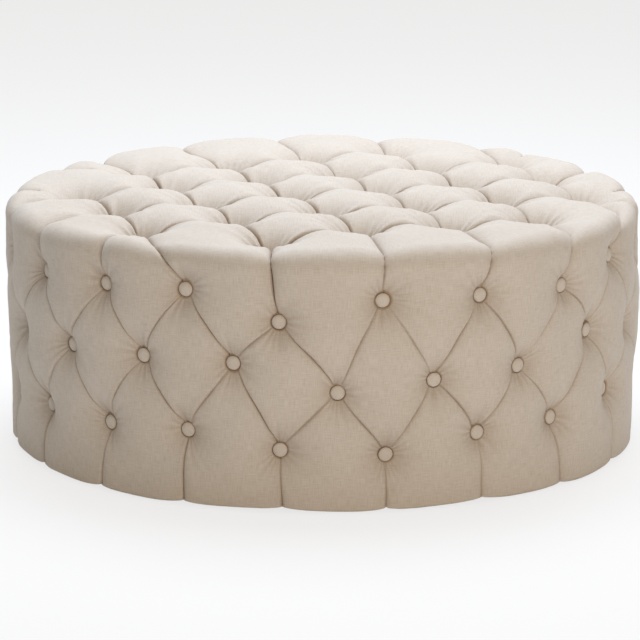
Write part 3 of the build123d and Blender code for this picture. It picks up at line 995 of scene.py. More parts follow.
    @staticmethod
    def loop_order(
        loop: list[bmesh.types.BMEdge], start: bmesh.types.BMVert, towards: bmesh.types.BMVert
    ) -> dict[bmesh.types.BMVert, bmesh.types.BMVert]:
        """Walks a closed loop of edges one way round.

        Args:
            loop: its edges.
            start: where to start.
            towards: a vertex that the shorter way from the start comes to first.

        Returns:
            The vertex that follows each vertex.
        """
        beside: dict[bmesh.types.BMVert, list[bmesh.types.BMVert]] = {}
        for one in loop:
            for vert in one.verts:
                beside.setdefault(vert, []).append(one.other_vert(vert))
        walks = []
        for first in beside[start]:
            walk = [start, first]
            while walk[-1] is not start:
                before, here = walk[-2:]
                walk.append(next(vert for vert in beside[here] if vert is not before))
            walks.append(walk)
        walk = min(walks, key=lambda found: found.index(towards))
        return dict(zip(walk, walk[1:]))

    def sew_fading(self, spoke: bmesh.types.BMEdge, button: bmesh.types.BMVert) -> None:
        """Keeps a short pleat that fades out on the shoulder.

        Args:
            spoke: the cage edge that it lies on.
            button: the upper button that it starts from.
        """
        start = np.array(button.co.xy)
        well = np.array(spoke.other_vert(button).co.xy)
        self.pleats.append(Pleat(start + (well - start) * self.fading_share, start, Seam.FADING))

    def levelled(self, plan: np.ndarray) -> np.ndarray:
        """Pushes the straight sides of the plan out to a round hem.

        Args:
            plan: points of the flat plan.

        Returns:
            The points with the hem's polygon rounded.
        """
        reach = np.hypot(plan[:, 0], plan[:, 1])
        angle = np.degrees(np.arctan2(plan[:, 0], -plan[:, 1])) - self.first_angle
        step = 360 / self.columns
        aside = np.radians((angle % step) - step / 2)
        low = self.outline.walk_at_height(Row.LOWER.height)
        share = np.clip((reach - low) / (self.outline.length - low), 0.0, 1.0)
        grow = 1 + share * (np.cos(aside) / math.cos(math.radians(step / 2)) - 1)
        grown = plan * grow[:, None]
        over = np.maximum(np.hypot(grown[:, 0], grown[:, 1]) / self.outline.length, 1.0)
        return grown / over[:, None]

    def wandered(self, plan: np.ndarray) -> np.ndarray:
        """Bends the plan a little, as hand-pulled tufts are never quite on the line.

        Args:
            plan: points of the flat plan.

        Returns:
            The points moved by up to a few millimetres, the same way every time.
        """
        chance = np.random.default_rng(self.seed)
        moved = plan.copy()
        share = np.hypot(plan[:, 0], plan[:, 1]) / self.outline.length
        fade = 1 - smooth_step((share - self.still_from) / self.still_over)
        for length in self.wander_lengths:
            for axis in (0, 1):
                way = chance.normal(size=2)
                way *= WHOLE_TURN / (length * MM) / np.hypot(*way)
                phase = chance.uniform(0, WHOLE_TURN)
                shift = np.sin(plan @ way + phase) * self.wander * MM
                moved[:, axis] += shift * length / self.wander_lengths[0] * fade
        return moved

    def laid(self, spot: np.ndarray) -> tuple[np.ndarray, np.ndarray]:
        """Gives a button's place on the drum, hand-pulled, and the outward normal there."""
        points, out = self.outline.surface(self.levelled(self.wandered(spot[None, :])))
        return points[0], out[0]


@dataclass
class TuftedCover:
    """The linen cover with its puffs, pleats and wells, over the drum."""

    plan: TuftPlan
    cuts: int = 41
    fine_reach: float = 46.0
    side_button_depth: float = 25.0
    top_seat_height: float = 354.0
    seat_radius: float = 12.3
    seat_sink: float = 3.6
    top_well_spread: float = 33.0
    side_well_spread: float = 25.0
    blend_power: float = 4.0
    pleat_runs: int = 14
    gather_height: float = 6.8
    gather_reach: float = 34.0
    side_gather_share: float = 0.4
    crease_depth: float = 4.0
    crease_half_width: float = 6.5
    crease_length: float = 54.0
    lip_reach: float = 7.0
    slit_reach: float = 1.5
    slit_range: tuple[float, float] = (0.5, 1.1)
    lip_power: float = 1.3
    tighten_reach: float = 32.0
    tighten_power: float = 1.5
    # The mesh isn't tightened up to this distance from a button, and fully a second one on.
    calm_from: float = 14.0
    calm_over: float = 26.0
    # How the wells widen: how far they reach in spreads, and how steeply they run out.
    well_reach: float = 5.0
    well_power: float = 1.15
    # The gathers in a well: how many there are, how unevenly they are spaced, how high their
    # crests stand over their mean and how sharp they are.
    gather_folds: tuple[int, int] = (15, 20)
    gather_warp: tuple[float, float] = (2.2, 1.2)
    gather_crest: float = 0.6
    gather_edge: float = 1.5
    # How much they differ from side to side, and how far from the seat they have their height.
    gather_patch: float = 0.45
    gather_start: float = 6.0
    # The soft creases by a side button: which way each runs, counted from straight up, and
    # how strong it is; then how far they lean and how their lengths differ.
    crease_ways: tuple[tuple[float, float], ...] = ((0.0, 1.0), (0.35, 0.6), (math.pi, 0.55))
    crease_lean: float = 0.22
    crease_range: tuple[float, float] = (0.6, 1.1)
    # A seat is looked for this far round; cloth this near to its edge is drawn onto the lip,
    # and cloth over the lip is let down to this share of its height.
    seat_search: float = 30.0
    seat_snap: float = 1.1
    seat_settling: float = 0.6
    # The outward normal's rise that a place on the top has and a place on the side hasn't.
    top_facing: float = 0.7
    unevenness: float = 1.6
    uneven_lengths: tuple[float, ...] = (420.0, 270.0, 160.0, 90.0)
    # A whole turn in radians, rounded: the waves of the unevenness start anywhere in it.
    uneven_phase: float = 6.28
    # The top was stuffed a little fuller at the front than at the back and the sides.
    fuller_front: float = 5.0
    slacker_sides: float = 6.0
    # How far and how strongly painted shade darkens the cloth along its own folds, in the wells
    # and in a ring round each seat.
    fold_line_reach: float = 1.8
    fold_band_reach: float = 12.0
    fold_band_share: float = 0.3
    deepest_slit: float = 6.0
    well_shade_reach: float = 19.0
    top_well_shade: float = 0.8
    side_well_shade: float = 0.55
    seat_ring_reach: float = 2.2
    # The painted shade in a well between gathers, how much lighter their crests are painted, and
    # the painted shade of a side button's soft creases.
    even_shade: float = 0.66
    gather_shade: float = 0.85
    crease_shade: float = 0.45
    seed: int = 5

    def build(self) -> bpy.types.Object:
        """Makes the cover and dresses it.

        Returns:
            The cover.
        """
        cage = self.plan.cage()
        bmesh.ops.subdivide_edges(cage, edges=cage.edges, cuts=self.cuts, use_grid_fill=True)
        self.refine_wells(cage)
        mesh = bpy.data.meshes.new("tufted_linen_cover")
        cage.to_mesh(mesh)
        cage.free()
        flat = read_points(mesh)[:, :2]
        on_top = self.on_top_squares(mesh, flat)
        flat = self.tightened(flat)
        base, _ = self.plan.outline.surface(self.plan.levelled(flat))
        depth, lift, painted_shade = self.sink(flat, base)
        laid = self.plan.levelled(self.plan.wandered(flat))
        points, out = self.plan.outline.surface(laid)
        rise = self.unevenness_at(points) + self.stuffing_at(points, out) - depth + lift
        points += out * rise[:, None]
        self.press_seats(points)
        write_points(mesh, points)
        # The painted shade is kept as an attribute that the linen's colour reads.
        mesh.attributes.new(PAINTED_SHADE_MAP, "FLOAT", "POINT").data.foreach_set("value", painted_shade)
        self.map_cloth(mesh, laid, on_top)
        self.turn_hem_under(mesh)
        piece = finish_piece(
            mesh,
            "tufted_linen_cover",
            LINEN,
            ("top_cover", "side_cover", "top_wadding", "side_wadding"),
        )
        return piece

    def refine_wells(self, cage: bmesh.types.BMesh) -> None:
        """Halves the mesh round the buttons, where the gathers are narrow.

        Args:
            cage: the flat, subdivided plan.
        """
        middles = np.array([face.calc_center_median().xy for face in cage.faces])
        near = np.zeros(len(middles), dtype=bool)
        for spot in self.plan.spots:
            near |= np.hypot(*(middles - spot).T) < self.fine_reach * MM
        fine = [face for face, chosen in zip(cage.faces, near) if chosen]
        edges = list(dict.fromkeys(edge for face in fine for edge in face.edges))
        bmesh.ops.subdivide_edges(cage, edges=edges, cuts=1, use_grid_fill=True)

    def press_seats(self, points: np.ndarray) -> None:
        """Draws the cloth to a round lip at each button and sinks what lies under it.

        Args:
            points: the cover's vertices, which are moved.
        """
        edge, snap, lip = self.seat_radius * MM, self.seat_snap * MM, self.seat_sink * MM
        for plan_point, depth, _ in self.buttons():
            drum, out = self.plan.laid(plan_point)
            seat = drum - out * depth
            near = np.nonzero(np.abs(points - seat).max(axis=1) < self.seat_search * MM)[0]
            offset = points[near] - seat
            up = offset @ out
            flat = offset - up[:, None] * out
            far = np.linalg.norm(flat, axis=1)
            onto = np.abs(far - edge) < snap
            flat[onto] *= (edge / far[onto])[:, None]
            up[onto] = lip + np.maximum(up[onto] - lip, 0) * self.seat_settling
            up[far <= edge - snap] = 0.0
            points[near] = seat + flat + up[:, None] * out

    def on_top_squares(self, mesh: bpy.types.Mesh, flat: np.ndarray) -> np.ndarray:
        """Tells which faces lie in the whole squares between the top's wells.

        Args:
            mesh: the flat, subdivided plan.
            flat: its vertices on the plan.

        Returns:
            One truth value a face.
        """
        starts = read_counts(mesh.polygons, "loop_start")
        totals = read_counts(mesh.polygons, "loop_total")
        loops = read_counts(mesh.loops, "vertex_index")
        middles = np.add.reduceat(flat[loops], starts, axis=0) / totals[:, None]
        wells = np.round(self.plan.grid_place(np.array(self.plan.wells))).astype(int)
        known = set(map(tuple, wells.tolist()))
        # The squares' corners lie an odd number of half pitches right and an even one up.
        place = self.plan.grid_place(middles)
        column, row = np.floor((place[:, 0] - 1) / 2), np.floor(place[:, 1] / 2)
        inside = np.zeros(len(middles), dtype=bool)
        for right, up in set(zip(column.astype(int).tolist(), row.astype(int).tolist())):
            corners = {(2 * (right + x) + 1, 2 * (up + y)) for x in (0, 1) for y in (0, 1)}
            if corners <= known:
                inside |= (column == right) & (row == up)
        return inside

    def tightened(self, flat: np.ndarray) -> np.ndarray:
        """Draws the mesh closer to the pleats, where the folds are narrow.

        Args:
            flat: vertices on the plan.

        Returns:
            The vertices, each moved towards its nearest pleat.
        """
        nearest = np.full(len(flat), 1.0)
        towards = np.zeros_like(flat)
        for pleat in self.plan.pleats:
            along = pleat.end - pleat.start
            share = np.clip((flat - pleat.start) @ along / (along @ along), 0.0, 1.0)
            gap = pleat.start + share[:, None] * along - flat
            far = np.hypot(gap[:, 0], gap[:, 1])
            closer = far < nearest
            nearest[closer] = far[closer]
            towards[closer] = gap[closer]
        reach = self.tighten_reach * MM
        inside = (nearest < reach) & (nearest > TINY)
        far = nearest[inside]
        drawn = reach * (far / reach) ** self.tighten_power
        moved = flat.copy()
        moved[inside] += towards[inside] * ((far - drawn) / far * self.calm(flat[inside]))[:, None]
        return moved

    def calm(self, flat: np.ndarray) -> np.ndarray:
        """Tells how far the cloth is clear of the buttons.

        Args:
            flat: vertices on the plan.

        Returns:
            0 close to a button and 1 away from them.
        """
        far = np.full(len(flat), 1.0)
        for spot in self.plan.spots:
            np.minimum(far, np.hypot(*(flat - spot).T), out=far)
        return smooth_step((far / MM - self.calm_from) / self.calm_over)

    def beside(
        self, pleat: Pleat, base: np.ndarray, width: float
    ) -> tuple[np.ndarray, np.ndarray, np.ndarray]:
        """Finds the vertices near a pleat, which is taken as short straight runs on the drum.

        Args:
            pleat: the pleat.
            base: vertices on the drum.
            width: how far its puffs reach, in metres.

        Returns:
            Which vertices are near, how far off each lies, and its share of the way along.
        """
        shares = np.linspace(0.0, 1.0, self.pleat_runs + 1)[:, None]
        plan = self.plan.levelled(pleat.start + (pleat.end - pleat.start) * shares)
        line = self.plan.outline.surface(plan)[0]
        centre = line.mean(axis=0)
        reach = np.linalg.norm(line - centre, axis=1).max() + width
        near = np.nonzero(np.linalg.norm(base - centre, axis=1) < reach)[0]
        far, share = np.full(len(near), 1.0), np.zeros(len(near))
        for step in range(self.pleat_runs):
            run = line[step + 1] - line[step]
            part = np.clip((base[near] - line[step]) @ run / (run @ run), 0.0, 1.0)
            gap = np.linalg.norm(base[near] - line[step] - part[:, None] * run, axis=1)
            closer = gap < far
            far[closer] = gap[closer]
            share[closer] = (step + part[closer]) / self.pleat_runs
        return near, far, share

    def sink(
        self, flat: np.ndarray, base: np.ndarray
    ) -> tuple[np.ndarray, np.ndarray, np.ndarray]:
        """Works out how far each vertex is drawn in by the pleats and buttons.

        Args:
            flat: vertices on the plan.
            base: the same vertices on the drum.

        Returns:
            The depth, the lift of lips and gathers, and how much painted shade darkens the cloth
            along its folds and in its wells.
        """
        total, lift, painted_shade = np.zeros((3, len(base)))
        nearest = np.full(len(base), 1.0)
        chance = np.random.default_rng(self.seed + 2)
        for pleat in self.plan.pleats:
            first, middle, last, width, lip_height, slit_depth = (
                value * MM for value in pleat.seam.value
            )
            slit_depth *= chance.uniform(*self.slit_range)
            near, far, share = self.beside(pleat, base, width)
            ends = last + (first - last) * share
            drop = ends + (middle - (first + last) / 2) * np.sin(math.pi * share) ** 2
            part = np.clip(far / width, 0.0, 1.0)
            total[near] += (drop * (1 - np.sqrt(1 - (1 - part) ** 2))) ** self.blend_power
            along = pleat.end - pleat.start
            offset = flat[near] - pleat.start
            side = along[0] * offset[:, 1] - along[1] * offset[:, 0]
            slope = pleat.end[0] * along[1] - pleat.end[1] * along[0]
            upper = np.sign(side) == (np.sign(slope) or 1.0)
            fade = np.sin(math.pi * share) ** 0.5
            lip = np.exp(-((far / (self.lip_reach * MM)) ** self.lip_power)) * upper * fade
            slit = np.exp(-((far / (self.slit_reach * MM)) ** 2))
            closer = far < nearest[near]
            where = near[closer]
            lift[where] = lip_height * lip[closer] - slit_depth * slit[closer]
            nearest[where] = far[closer]
            # Painted shade along the fold: a thin dark line and a fainter wide band, stronger
            # where the slit is deeper.
            line = np.exp(-((far[closer] / (self.fold_line_reach * MM)) ** 2))
            band = np.exp(-((far[closer] / (self.fold_band_reach * MM)) ** 2))
            mark = min(slit_depth / (self.deepest_slit * MM), 1.0)
            painted_shade[where] = mark * np.maximum(line, self.fold_band_share * band)
        self.sink_wells(base, total, lift, painted_shade)
        return total ** (1 / self.blend_power), lift, painted_shade

    def sink_wells(
        self, base: np.ndarray, total: np.ndarray, lift: np.ndarray, painted_shade: np.ndarray
    ) -> None:
        """Adds the wells round the buttons, with small gathers running into them, and their
        painted shade.

        Args:
            base: vertices on the drum.
            total: the summed powers of the depths, which are added to.
            lift: the lift of lips and gathers, which is added to.
            painted_shade: how much painted shade darkens the cloth, which is raised.
        """
        chance = np.random.default_rng(self.seed)
        for plan_point, depth, spread in self.buttons():
            (centre,), (out,) = self.plan.outline.surface(plan_point[None, :])
            on_top = out[2] > self.top_facing
            offset = base - centre
            far = np.linalg.norm(offset, axis=1)
            near = np.nonzero(far < spread * self.well_reach)[0]
            outside = np.maximum(far[near] - self.seat_radius * MM, 0.0)
            sunk = (depth - self.seat_sink * MM) * np.exp(-((outside / spread) ** self.well_power))
            total[near] += sunk**self.blend_power
            # Upwards with a lean to the back, so that it also gives a way round on the top.
            east = np.cross(out, (0.0, 0.13, 1.0))
            east /= np.linalg.norm(east)
            right, up = offset[near] @ east, offset[near] @ np.cross(east, out)
            angle = np.arctan2(up, right)
            wave, patch = self.gathers(angle, chance)
            fade = np.exp(-outside / (self.gather_reach * MM))
            fade *= smooth_step(outside / (self.gather_start * MM))
            share = 1.0 if on_top else self.side_gather_share
            lift[near] += self.gather_height * MM * wave * fade * patch * share
            # Painted shade in the well, lighter on the gathers' crests, and a dark painted ring
            # round the seat.
            shade = self.top_well_shade if on_top else self.side_well_shade
            shade *= np.exp(-((outside / (self.well_shade_reach * MM)) ** self.lip_power))
            shade = shade * (self.even_shade - self.gather_shade * wave * patch)
            ring = np.exp(-((outside / (self.seat_ring_reach * MM)) ** 2))
            painted_shade[near] = np.maximum(painted_shade[near], np.maximum(shade, ring))
            if not on_top:
                folded = self.creases(right, up, chance)
                lift[near] -= folded
                # Painted shade along the soft creases, in step with their depth.
                shade = folded / (self.crease_depth * MM) * self.crease_shade
                painted_shade[near] = np.maximum(painted_shade[near], shade)

    def gathers(
        self, angle: np.ndarray, chance: np.random.Generator
    ) -> tuple[np.ndarray, np.ndarray]:
        """Gives the rise and fall of the gathers round a button.

        Args:
            angle: which way from the button each vertex lies.
            chance: the source of their number and places.

        Returns:
            The wave of the gathers, and how strong they are in each direction.
        """
        folds = int(chance.integers(*self.gather_folds))
        phase, warp = chance.uniform(0, WHOLE_TURN, 2)
        twofold, threefold = self.gather_warp
        turned = folds * angle + twofold * np.sin(2 * angle + warp)
        turned += threefold * np.sin(3 * angle - phase)
        wave = self.gather_crest - np.abs(np.cos(turned / 2 + phase)) ** self.gather_edge
        patch = 1 - self.gather_patch + self.gather_patch * np.sin(3 * angle + warp * 2)
        return wave, patch

    def creases(
        self, right: np.ndarray, up: np.ndarray, chance: np.random.Generator
    ) -> np.ndarray:
        """Gives the depth of the short soft creases above and below a side button.

        Args:
            right: how far right of the button each vertex lies.
            up: how far above it.
            chance: the source of their angles and lengths.

        Returns:
            The depth at each vertex, in metres.
        """
        depth = np.zeros(len(right))
        for way, strength in self.crease_ways:
            lean = way + chance.normal() * self.crease_lean
            along = right * math.sin(lean) + up * math.cos(lean)
            aside = right * math.cos(lean) - up * math.sin(lean)
            length = self.crease_length * MM * chance.uniform(*self.crease_range)
            run = np.clip(along / length, 0.0, 1.0)
            taper = (1 - run) * smooth_step(along / (self.seat_radius * MM))
            width = self.crease_half_width * MM * (0.8 + 0.5 * run)
            depth += self.crease_depth * MM * strength * taper * np.exp(-((aside / width) ** 2))
        return depth

    def buttons(self) -> list[tuple[np.ndarray, float, float]]:
        """Lists the buttons, those of the top first.

        Returns:
            Each one's plan point, its depth under the drum and its well's spread, in metres.
        """
        found = []
        for well in self.plan.wells:
            drum, _ = self.plan.outline.surface(well[None, :])
            depth = drum[0, 2] - self.top_seat_height * MM
            found.append((well, float(depth), self.top_well_spread * MM))
        for spots in self.plan.rows.values():
            for spot in spots:
                depth = self.side_button_depth * MM
                found.append((spot, depth, self.side_well_spread * MM))
        return found

    def unevenness_at(self, points: np.ndarray) -> np.ndarray:
        """Gives the slow rise and fall of hand-stuffed puffs.

        Args:
            points: vertices on the drum.

        Returns:
            The rise at each, in metres.
        """
        chance = np.random.default_rng(self.seed + 1)
        rise = np.zeros(len(points))
        for length in self.uneven_lengths:
            way = chance.normal(size=3)
            way *= WHOLE_TURN / (length * MM) / np.linalg.norm(way)
            phase = chance.uniform(0, self.uneven_phase)
            rise += np.sin(points @ way + phase) * self.unevenness * MM * length
        return rise / self.uneven_lengths[0]

    def stuffing_at(self, points: np.ndarray, out: np.ndarray) -> np.ndarray:
        """Gives how much fuller the top was stuffed at the front, and slacker at the sides.

        Args:
            points: vertices on the drum.
            out: the outward normals there.

        Returns:
            The rise at each, in metres.
        """
        share = points[:, :2] / (self.plan.outline.radius * MM)
        rise = -share[:, 1] * self.fuller_front - share[:, 0] ** 2 * self.slacker_sides
        return rise * MM * np.maximum(out[:, 2], 0.0)

    def map_cloth(self, mesh: bpy.types.Mesh, laid: np.ndarray, on_top: np.ndarray) -> None:
        """Maps the weave in metres: flat on the top's squares, round the drum elsewhere.

        Args:
            mesh: the cover.
            laid: its vertices on the plan.
            on_top: which faces lie in the top's squares.
        """
        loops = read_counts(mesh.loops, "vertex_index")
        totals = read_counts(mesh.polygons, "loop_total")
        flat_loops = np.repeat(on_top, totals)
        owner = np.repeat(np.arange(len(totals)), totals)
        reach = np.hypot(laid[:, 0], laid[:, 1])
        angle = np.arctan2(laid[:, 0], -laid[:, 1])[loops]
        first = angle[read_counts(mesh.polygons, "loop_start")][owner]
        angle = angle + WHOLE_TURN * np.round((first - angle) / WHOLE_TURN)
        drum = self.plan.outline.radius * MM
        around = np.column_stack([angle * drum, -reach[loops]])
        cloth = np.where(flat_loops[:, None], laid[loops], around)
        layer = mesh.uv_layers.new(name=CLOTH_MAP)
        layer.uv.foreach_set("vector", cloth.ravel())

    def turn_hem_under(self, mesh: bpy.types.Mesh) -> None:
        """Turns the hem in under the base, in two folds of the boundary.

        Args:
            mesh: the cover, open at its hem.
        """
        outline = self.plan.outline
        folds = (outline.radius - outline.hem_draw_in - outline.hem_fold, outline.hem_inner_radius)
        with editing(mesh) as bm:
            for radius in folds:
                rim = [one for one in bm.edges if one.is_boundary]
                for grown in bmesh.ops.extrude_edge_only(bm, edges=rim)["geom"]:
                    if isinstance(grown, bmesh.types.BMVert):
                        way = Vector((grown.co.x, grown.co.y, 0)).normalized() * radius
                        grown.co = Vector((way.x, way.y, outline.hem_height)) * MM


@dataclass
class CoveredButtons:
    """Fabric-covered buttons: flat domes whose cloth is drawn tight round the edge."""

    cover: TuftedCover
    seat_gap: float = 0.4
    # The cap's outline from the middle of its dome round its edge and under: radius, height.
    dome: tuple[tuple[float, float], ...] = (
        *((0.0, 7.0), (3.0, 6.9), (6.0, 6.45), (8.2, 5.75), (9.8, 4.75), (10.8, 3.6)),
        *((11.3, 2.4), (11.2, 1.2), (10.4, 0.3), (9.9, 0.0), (9.9, 1.5), (0.0, 1.6)),
    )
    steps: int = 28
    # Painted shade: the cloth drawn under the cap from this radius on is darkened fully, for the
    # shade under the cap's edge.
    shaded_from: float = 10.99
    # How much wider the cloth's weave lies on a cap than flat, as the cap is drawn tight.
    cloth_stretch: float = 1.15
    plate_radius: float = 9.6
    plate_thickness: float = 1.0
    plate_sides: int = 20
    rolled_share: float = 0.3
    eye_radius: float = 3.3
    eye_wire: float = 1.4
    eye_sides: int = 8
    eye_steps: int = 12
    # How far the buttons lean each way, in degrees: 3.5 over all, as most of it is smaller.
    tilt: float = 3.5 / 1.7
    seed: int = 3

    def cap_blank(self) -> bmesh.types.BMesh:
        """Turns one covered cap about its axis.

        Returns:
            A button that stands on the origin with its dome up.
        """
        bm = bmesh.new()
        verts = [bm.verts.new((r * MM, 0.0, z * MM)) for r, z in self.dome]
        edges = [bm.edges.new(pair) for pair in zip(verts, verts[1:])]
        bmesh.ops.spin(
            bm,
            geom=verts + edges,
            cent=(0, 0, 0),
            axis=(0, 0, 1),
            angle=WHOLE_TURN,
            steps=self.steps,
            use_merge=True,
        )
        bmesh.ops.remove_doubles(bm, verts=bm.verts, dist=0.01 * MM)
        bmesh.ops.recalc_face_normals(bm, faces=bm.faces)
        layer = bm.loops.layers.uv.new(CLOTH_MAP)
        for face in bm.faces:
            for loop in face.loops:
                loop[layer].uv = loop.vert.co.xy * self.cloth_stretch
        # Painted shade on the cloth drawn under the cap's edge, through the linen's attribute.
        shade = bm.verts.layers.float.new(PAINTED_SHADE_MAP)
        for vert in bm.verts:
            vert[shade] = float(vert.co.xy.length > self.shaded_from * MM)
        return bm

    def build(self) -> list[bpy.types.Object]:
        """Seats a button in every well: caps and backs, for the top and for the side.

        Returns:
            The four pieces.
        """
        wells = len(self.cover.plan.wells)
        spots = self.cover.buttons()
        cap, back = self.cap_blank(), self.back_blank()
        return [
            self.seated(cap, spots[:wells], "top_buttons", "top_button_caps", LINEN),
            self.seated(cap, spots[wells:], "side_buttons", "side_button_caps", LINEN),
            self.seated(back, spots[:wells], "top_eyes", "top_button_backs", BUTTON_STEEL),
            self.seated(back, spots[wells:], "side_eyes", "side_button_backs", BUTTON_STEEL),
        ]

    def back_blank(self) -> bmesh.types.BMesh:
        """Makes a button's steel back: a plate with rolled edges and a wire eye under it.

        Returns:
            A back that stands on the origin.
        """
        bm = bmesh.new()
        bmesh.ops.create_cone(
            bm,
            cap_ends=True,
            segments=self.plate_sides,
            radius1=self.plate_radius * MM,
            radius2=self.plate_radius * MM,
            depth=self.plate_thickness * MM,
            matrix=Matrix.Translation((0, 0, self.plate_thickness * MM / 2)),
        )
        rims = [one for one in bm.edges if abs(one.verts[0].co.z - one.verts[1].co.z) < TINY]
        bmesh.ops.bevel(
            bm,
            geom=rims,
            offset=self.plate_thickness * MM * self.rolled_share,
            affect="EDGES",
            segments=2,
            profile=0.5,
            material=-1,
        )
        wire = bmesh.ops.create_circle(
            bm,
            segments=self.eye_sides,
            radius=self.eye_wire * MM / 2,
            matrix=Matrix.Translation((self.eye_radius * MM, 0, self.plate_thickness * MM / 2)),
        )
        loop = [one for vert in wire["verts"] for one in vert.link_edges]
        bmesh.ops.spin(
            bm,
            geom=wire["verts"] + list(dict.fromkeys(loop)),
            cent=(0, 0, self.plate_thickness * MM / 2),
            axis=(0, 1, 0),
            angle=math.pi,
            steps=self.eye_steps,
        )
        bmesh.ops.recalc_face_normals(bm, faces=bm.faces)
        return bm

    def seated(
        self,
        shape: bmesh.types.BMesh,
        spots: list[tuple[np.ndarray, float, float]],
        name: str,
        node: str,
        finish: Finish,
    ) -> bpy.types.Object:
        """Puts copies of a shape on the buttons' seats, each a little askew.

        Args:
            shape: the cap or back, standing on the origin.
            spots: plan point, depth and spread of each well.
            name: the piece's name.
            node: the CAD node that it replaces.
            finish: what it is made of.

        Returns:
            The piece.
        """
        chance = np.random.default_rng(self.seed)
        blank = bpy.data.meshes.new("button_blank")
        shape.to_mesh(blank)
        bm = bmesh.new()
        for spot, depth, _ in spots:
            point, out = self.cover.plan.laid(spot)
            lean = Vector(out) + Vector(chance.normal(size=3)) * math.radians(self.tilt)
            seat = Vector(point) - Vector(out) * (depth - self.seat_gap * MM)
            turn = lean.normalized().to_track_quat("Z", "Y").to_matrix().to_4x4()
            spin = Matrix.Rotation(chance.uniform(0, math.pi), 4, "Z")
            before = len(bm.verts)
            bm.from_mesh(blank)
            bm.verts.ensure_lookup_table()
            bmesh.ops.transform(
                bm, matrix=Matrix.Translation(seat) @ turn @ spin, verts=bm.verts[before:]
            )
        mesh = bpy.data.meshes.new(name)
        bm.to_mesh(mesh)
        bm.free()
        return finish_piece(mesh, name, finish, (node,))


@dataclass
class FoamBody:
    """The cut foam under the cover: the top slab and the side band, with soft edges."""

    nodes: dict[str, bpy.types.Object]
    cover: TuftedCover
    grain: float = 5.8
    soften: int = 4
    cloth_and_wadding: float = 9.6
    least_thickness: float = 4.0
    band_inner_radius: float = 447.8
    slab_bottom: float = 342.8

    def build(self) -> list[bpy.types.Object]:
        """Makes both foams from the shapes of their CAD solids.

        Returns:
            The two pieces.
        """
        return [
            self.cut("top_foam", "top_foam_slab", 1.0),
            self.cut("side_foam", "side_foam_band", 1.2),
        ]

    def cut(self, node: str, name: str, coarser: float) -> bpy.types.Object:
        """Copies a foam's shape, remeshes it evenly and rounds its cut edges.

        Args:
            node: the CAD node.
            name: the piece's name.
            coarser: how much larger than the grain the even mesh is.

        Returns:
            The foam.
        """
        mesh = self.nodes[node].data.copy()
        mesh.name = name
        mesh.materials.clear()
        with editing(mesh) as bm:
            bmesh.ops.remove_doubles(bm, verts=bm.verts, dist=0.02 * MM)
        blank = bpy.data.objects.new("foam_blank", mesh)
        bpy.context.scene.collection.objects.link(blank)
        even = blank.modifiers.new("even", "REMESH")
        even.mode = "VOXEL"
        even.voxel_size = self.grain * coarser * MM
        graph = bpy.context.evaluated_depsgraph_get()
        cut = bpy.data.meshes.new_from_object(blank.evaluated_get(graph))
        bpy.data.objects.remove(blank)
        axes = {f"use_axis_{axis}": True for axis in "xyz"}
        with editing(cut) as bm:
            for _ in range(self.soften):
                bmesh.ops.smooth_vert(bm, verts=bm.verts, factor=0.5, **axes)
        write_points(cut, self.pressed(read_points(cut), node == "top_foam"))
        piece = finish_piece(cut, name, FOAM, (node,))
        return piece

    def pressed(self, points: np.ndarray, slab: bool) -> np.ndarray:
        """Presses the foam down under the cover's pleats and wells.

        Args:
            points: the foam's vertices.
            slab: whether it is the top slab; the side band otherwise.

        Returns:
            The vertices, none of them nearer to the cover than the wadding is thick.
        """
        outline = self.cover.plan.outline
        radius = np.hypot(points[:, 0], points[:, 1])
        way = points[:, :2] / np.maximum(radius, TINY)[:, None]
        laid = way * outline.nearest_walk(radius, points[:, 2])[:, None]
        base, out = outline.surface(laid)
        flat = 2 * laid - self.cover.plan.wandered(laid)
        depth, _, _ = self.cover.sink(flat, outline.surface(flat)[0])
        rise = self.cover.unevenness_at(base) + self.cover.stuffing_at(base, out)
        inside = ((base - points) * out).sum(axis=1)
        short = np.maximum(depth - rise + self.cloth_and_wadding * MM - inside, 0.0)
        pressed = points - out * short[:, None]
        if slab:
            least = (self.slab_bottom + self.least_thickness) * MM
            pressed[:, 2] = np.maximum(pressed[:, 2], np.minimum(points[:, 2], least))
        else:
            least = (self.band_inner_radius + self.least_thickness) * MM
            kept = np.hypot(pressed[:, 0], pressed[:, 1])
            pressed[:, :2] = way * np.maximum(kept, np.minimum(radius, least))[:, None]
        return pressed


@dataclass
class HiddenFrame:
    """The wooden frame, fasteners, twines and underside, which keep their CAD shapes."""

    nodes: dict[str, bpy.types.Object]
    # The first pattern that fits a node's name gives its finish.
    finishes: tuple[tuple[str, Finish], ...] = (
        ("post_*", PINE_UPRIGHT),
        ("long_brace", PINE_ALONG_Y),
        ("*_brace", PINE_ALONG_X),
        ("side_panel_*", PLYWOOD),
        ("top_board", PLYWOOD),
        ("base_ring", PLYWOOD),
        ("*_twines", TWINE),
        ("*_staples", STEEL),
        ("*_screws", STEEL),
        ("*_nails", STEEL),
        ("*_pins", STEEL),
        ("dust_cover", DUST_CLOTH),
        ("glide_*", GLIDE_PLASTIC),
    )

    def dress(self) -> None:
        """Puts each kept node's finish in its material slots."""
        for name, node in self.nodes.items():
            found = [finish for pattern, finish in self.finishes if fnmatch(name, pattern)]
            if found:
                node.data.materials.clear()
                node.data.materials.append(found[0].material())
                log.info("%s: %s", name, found[0].name)


# The studio


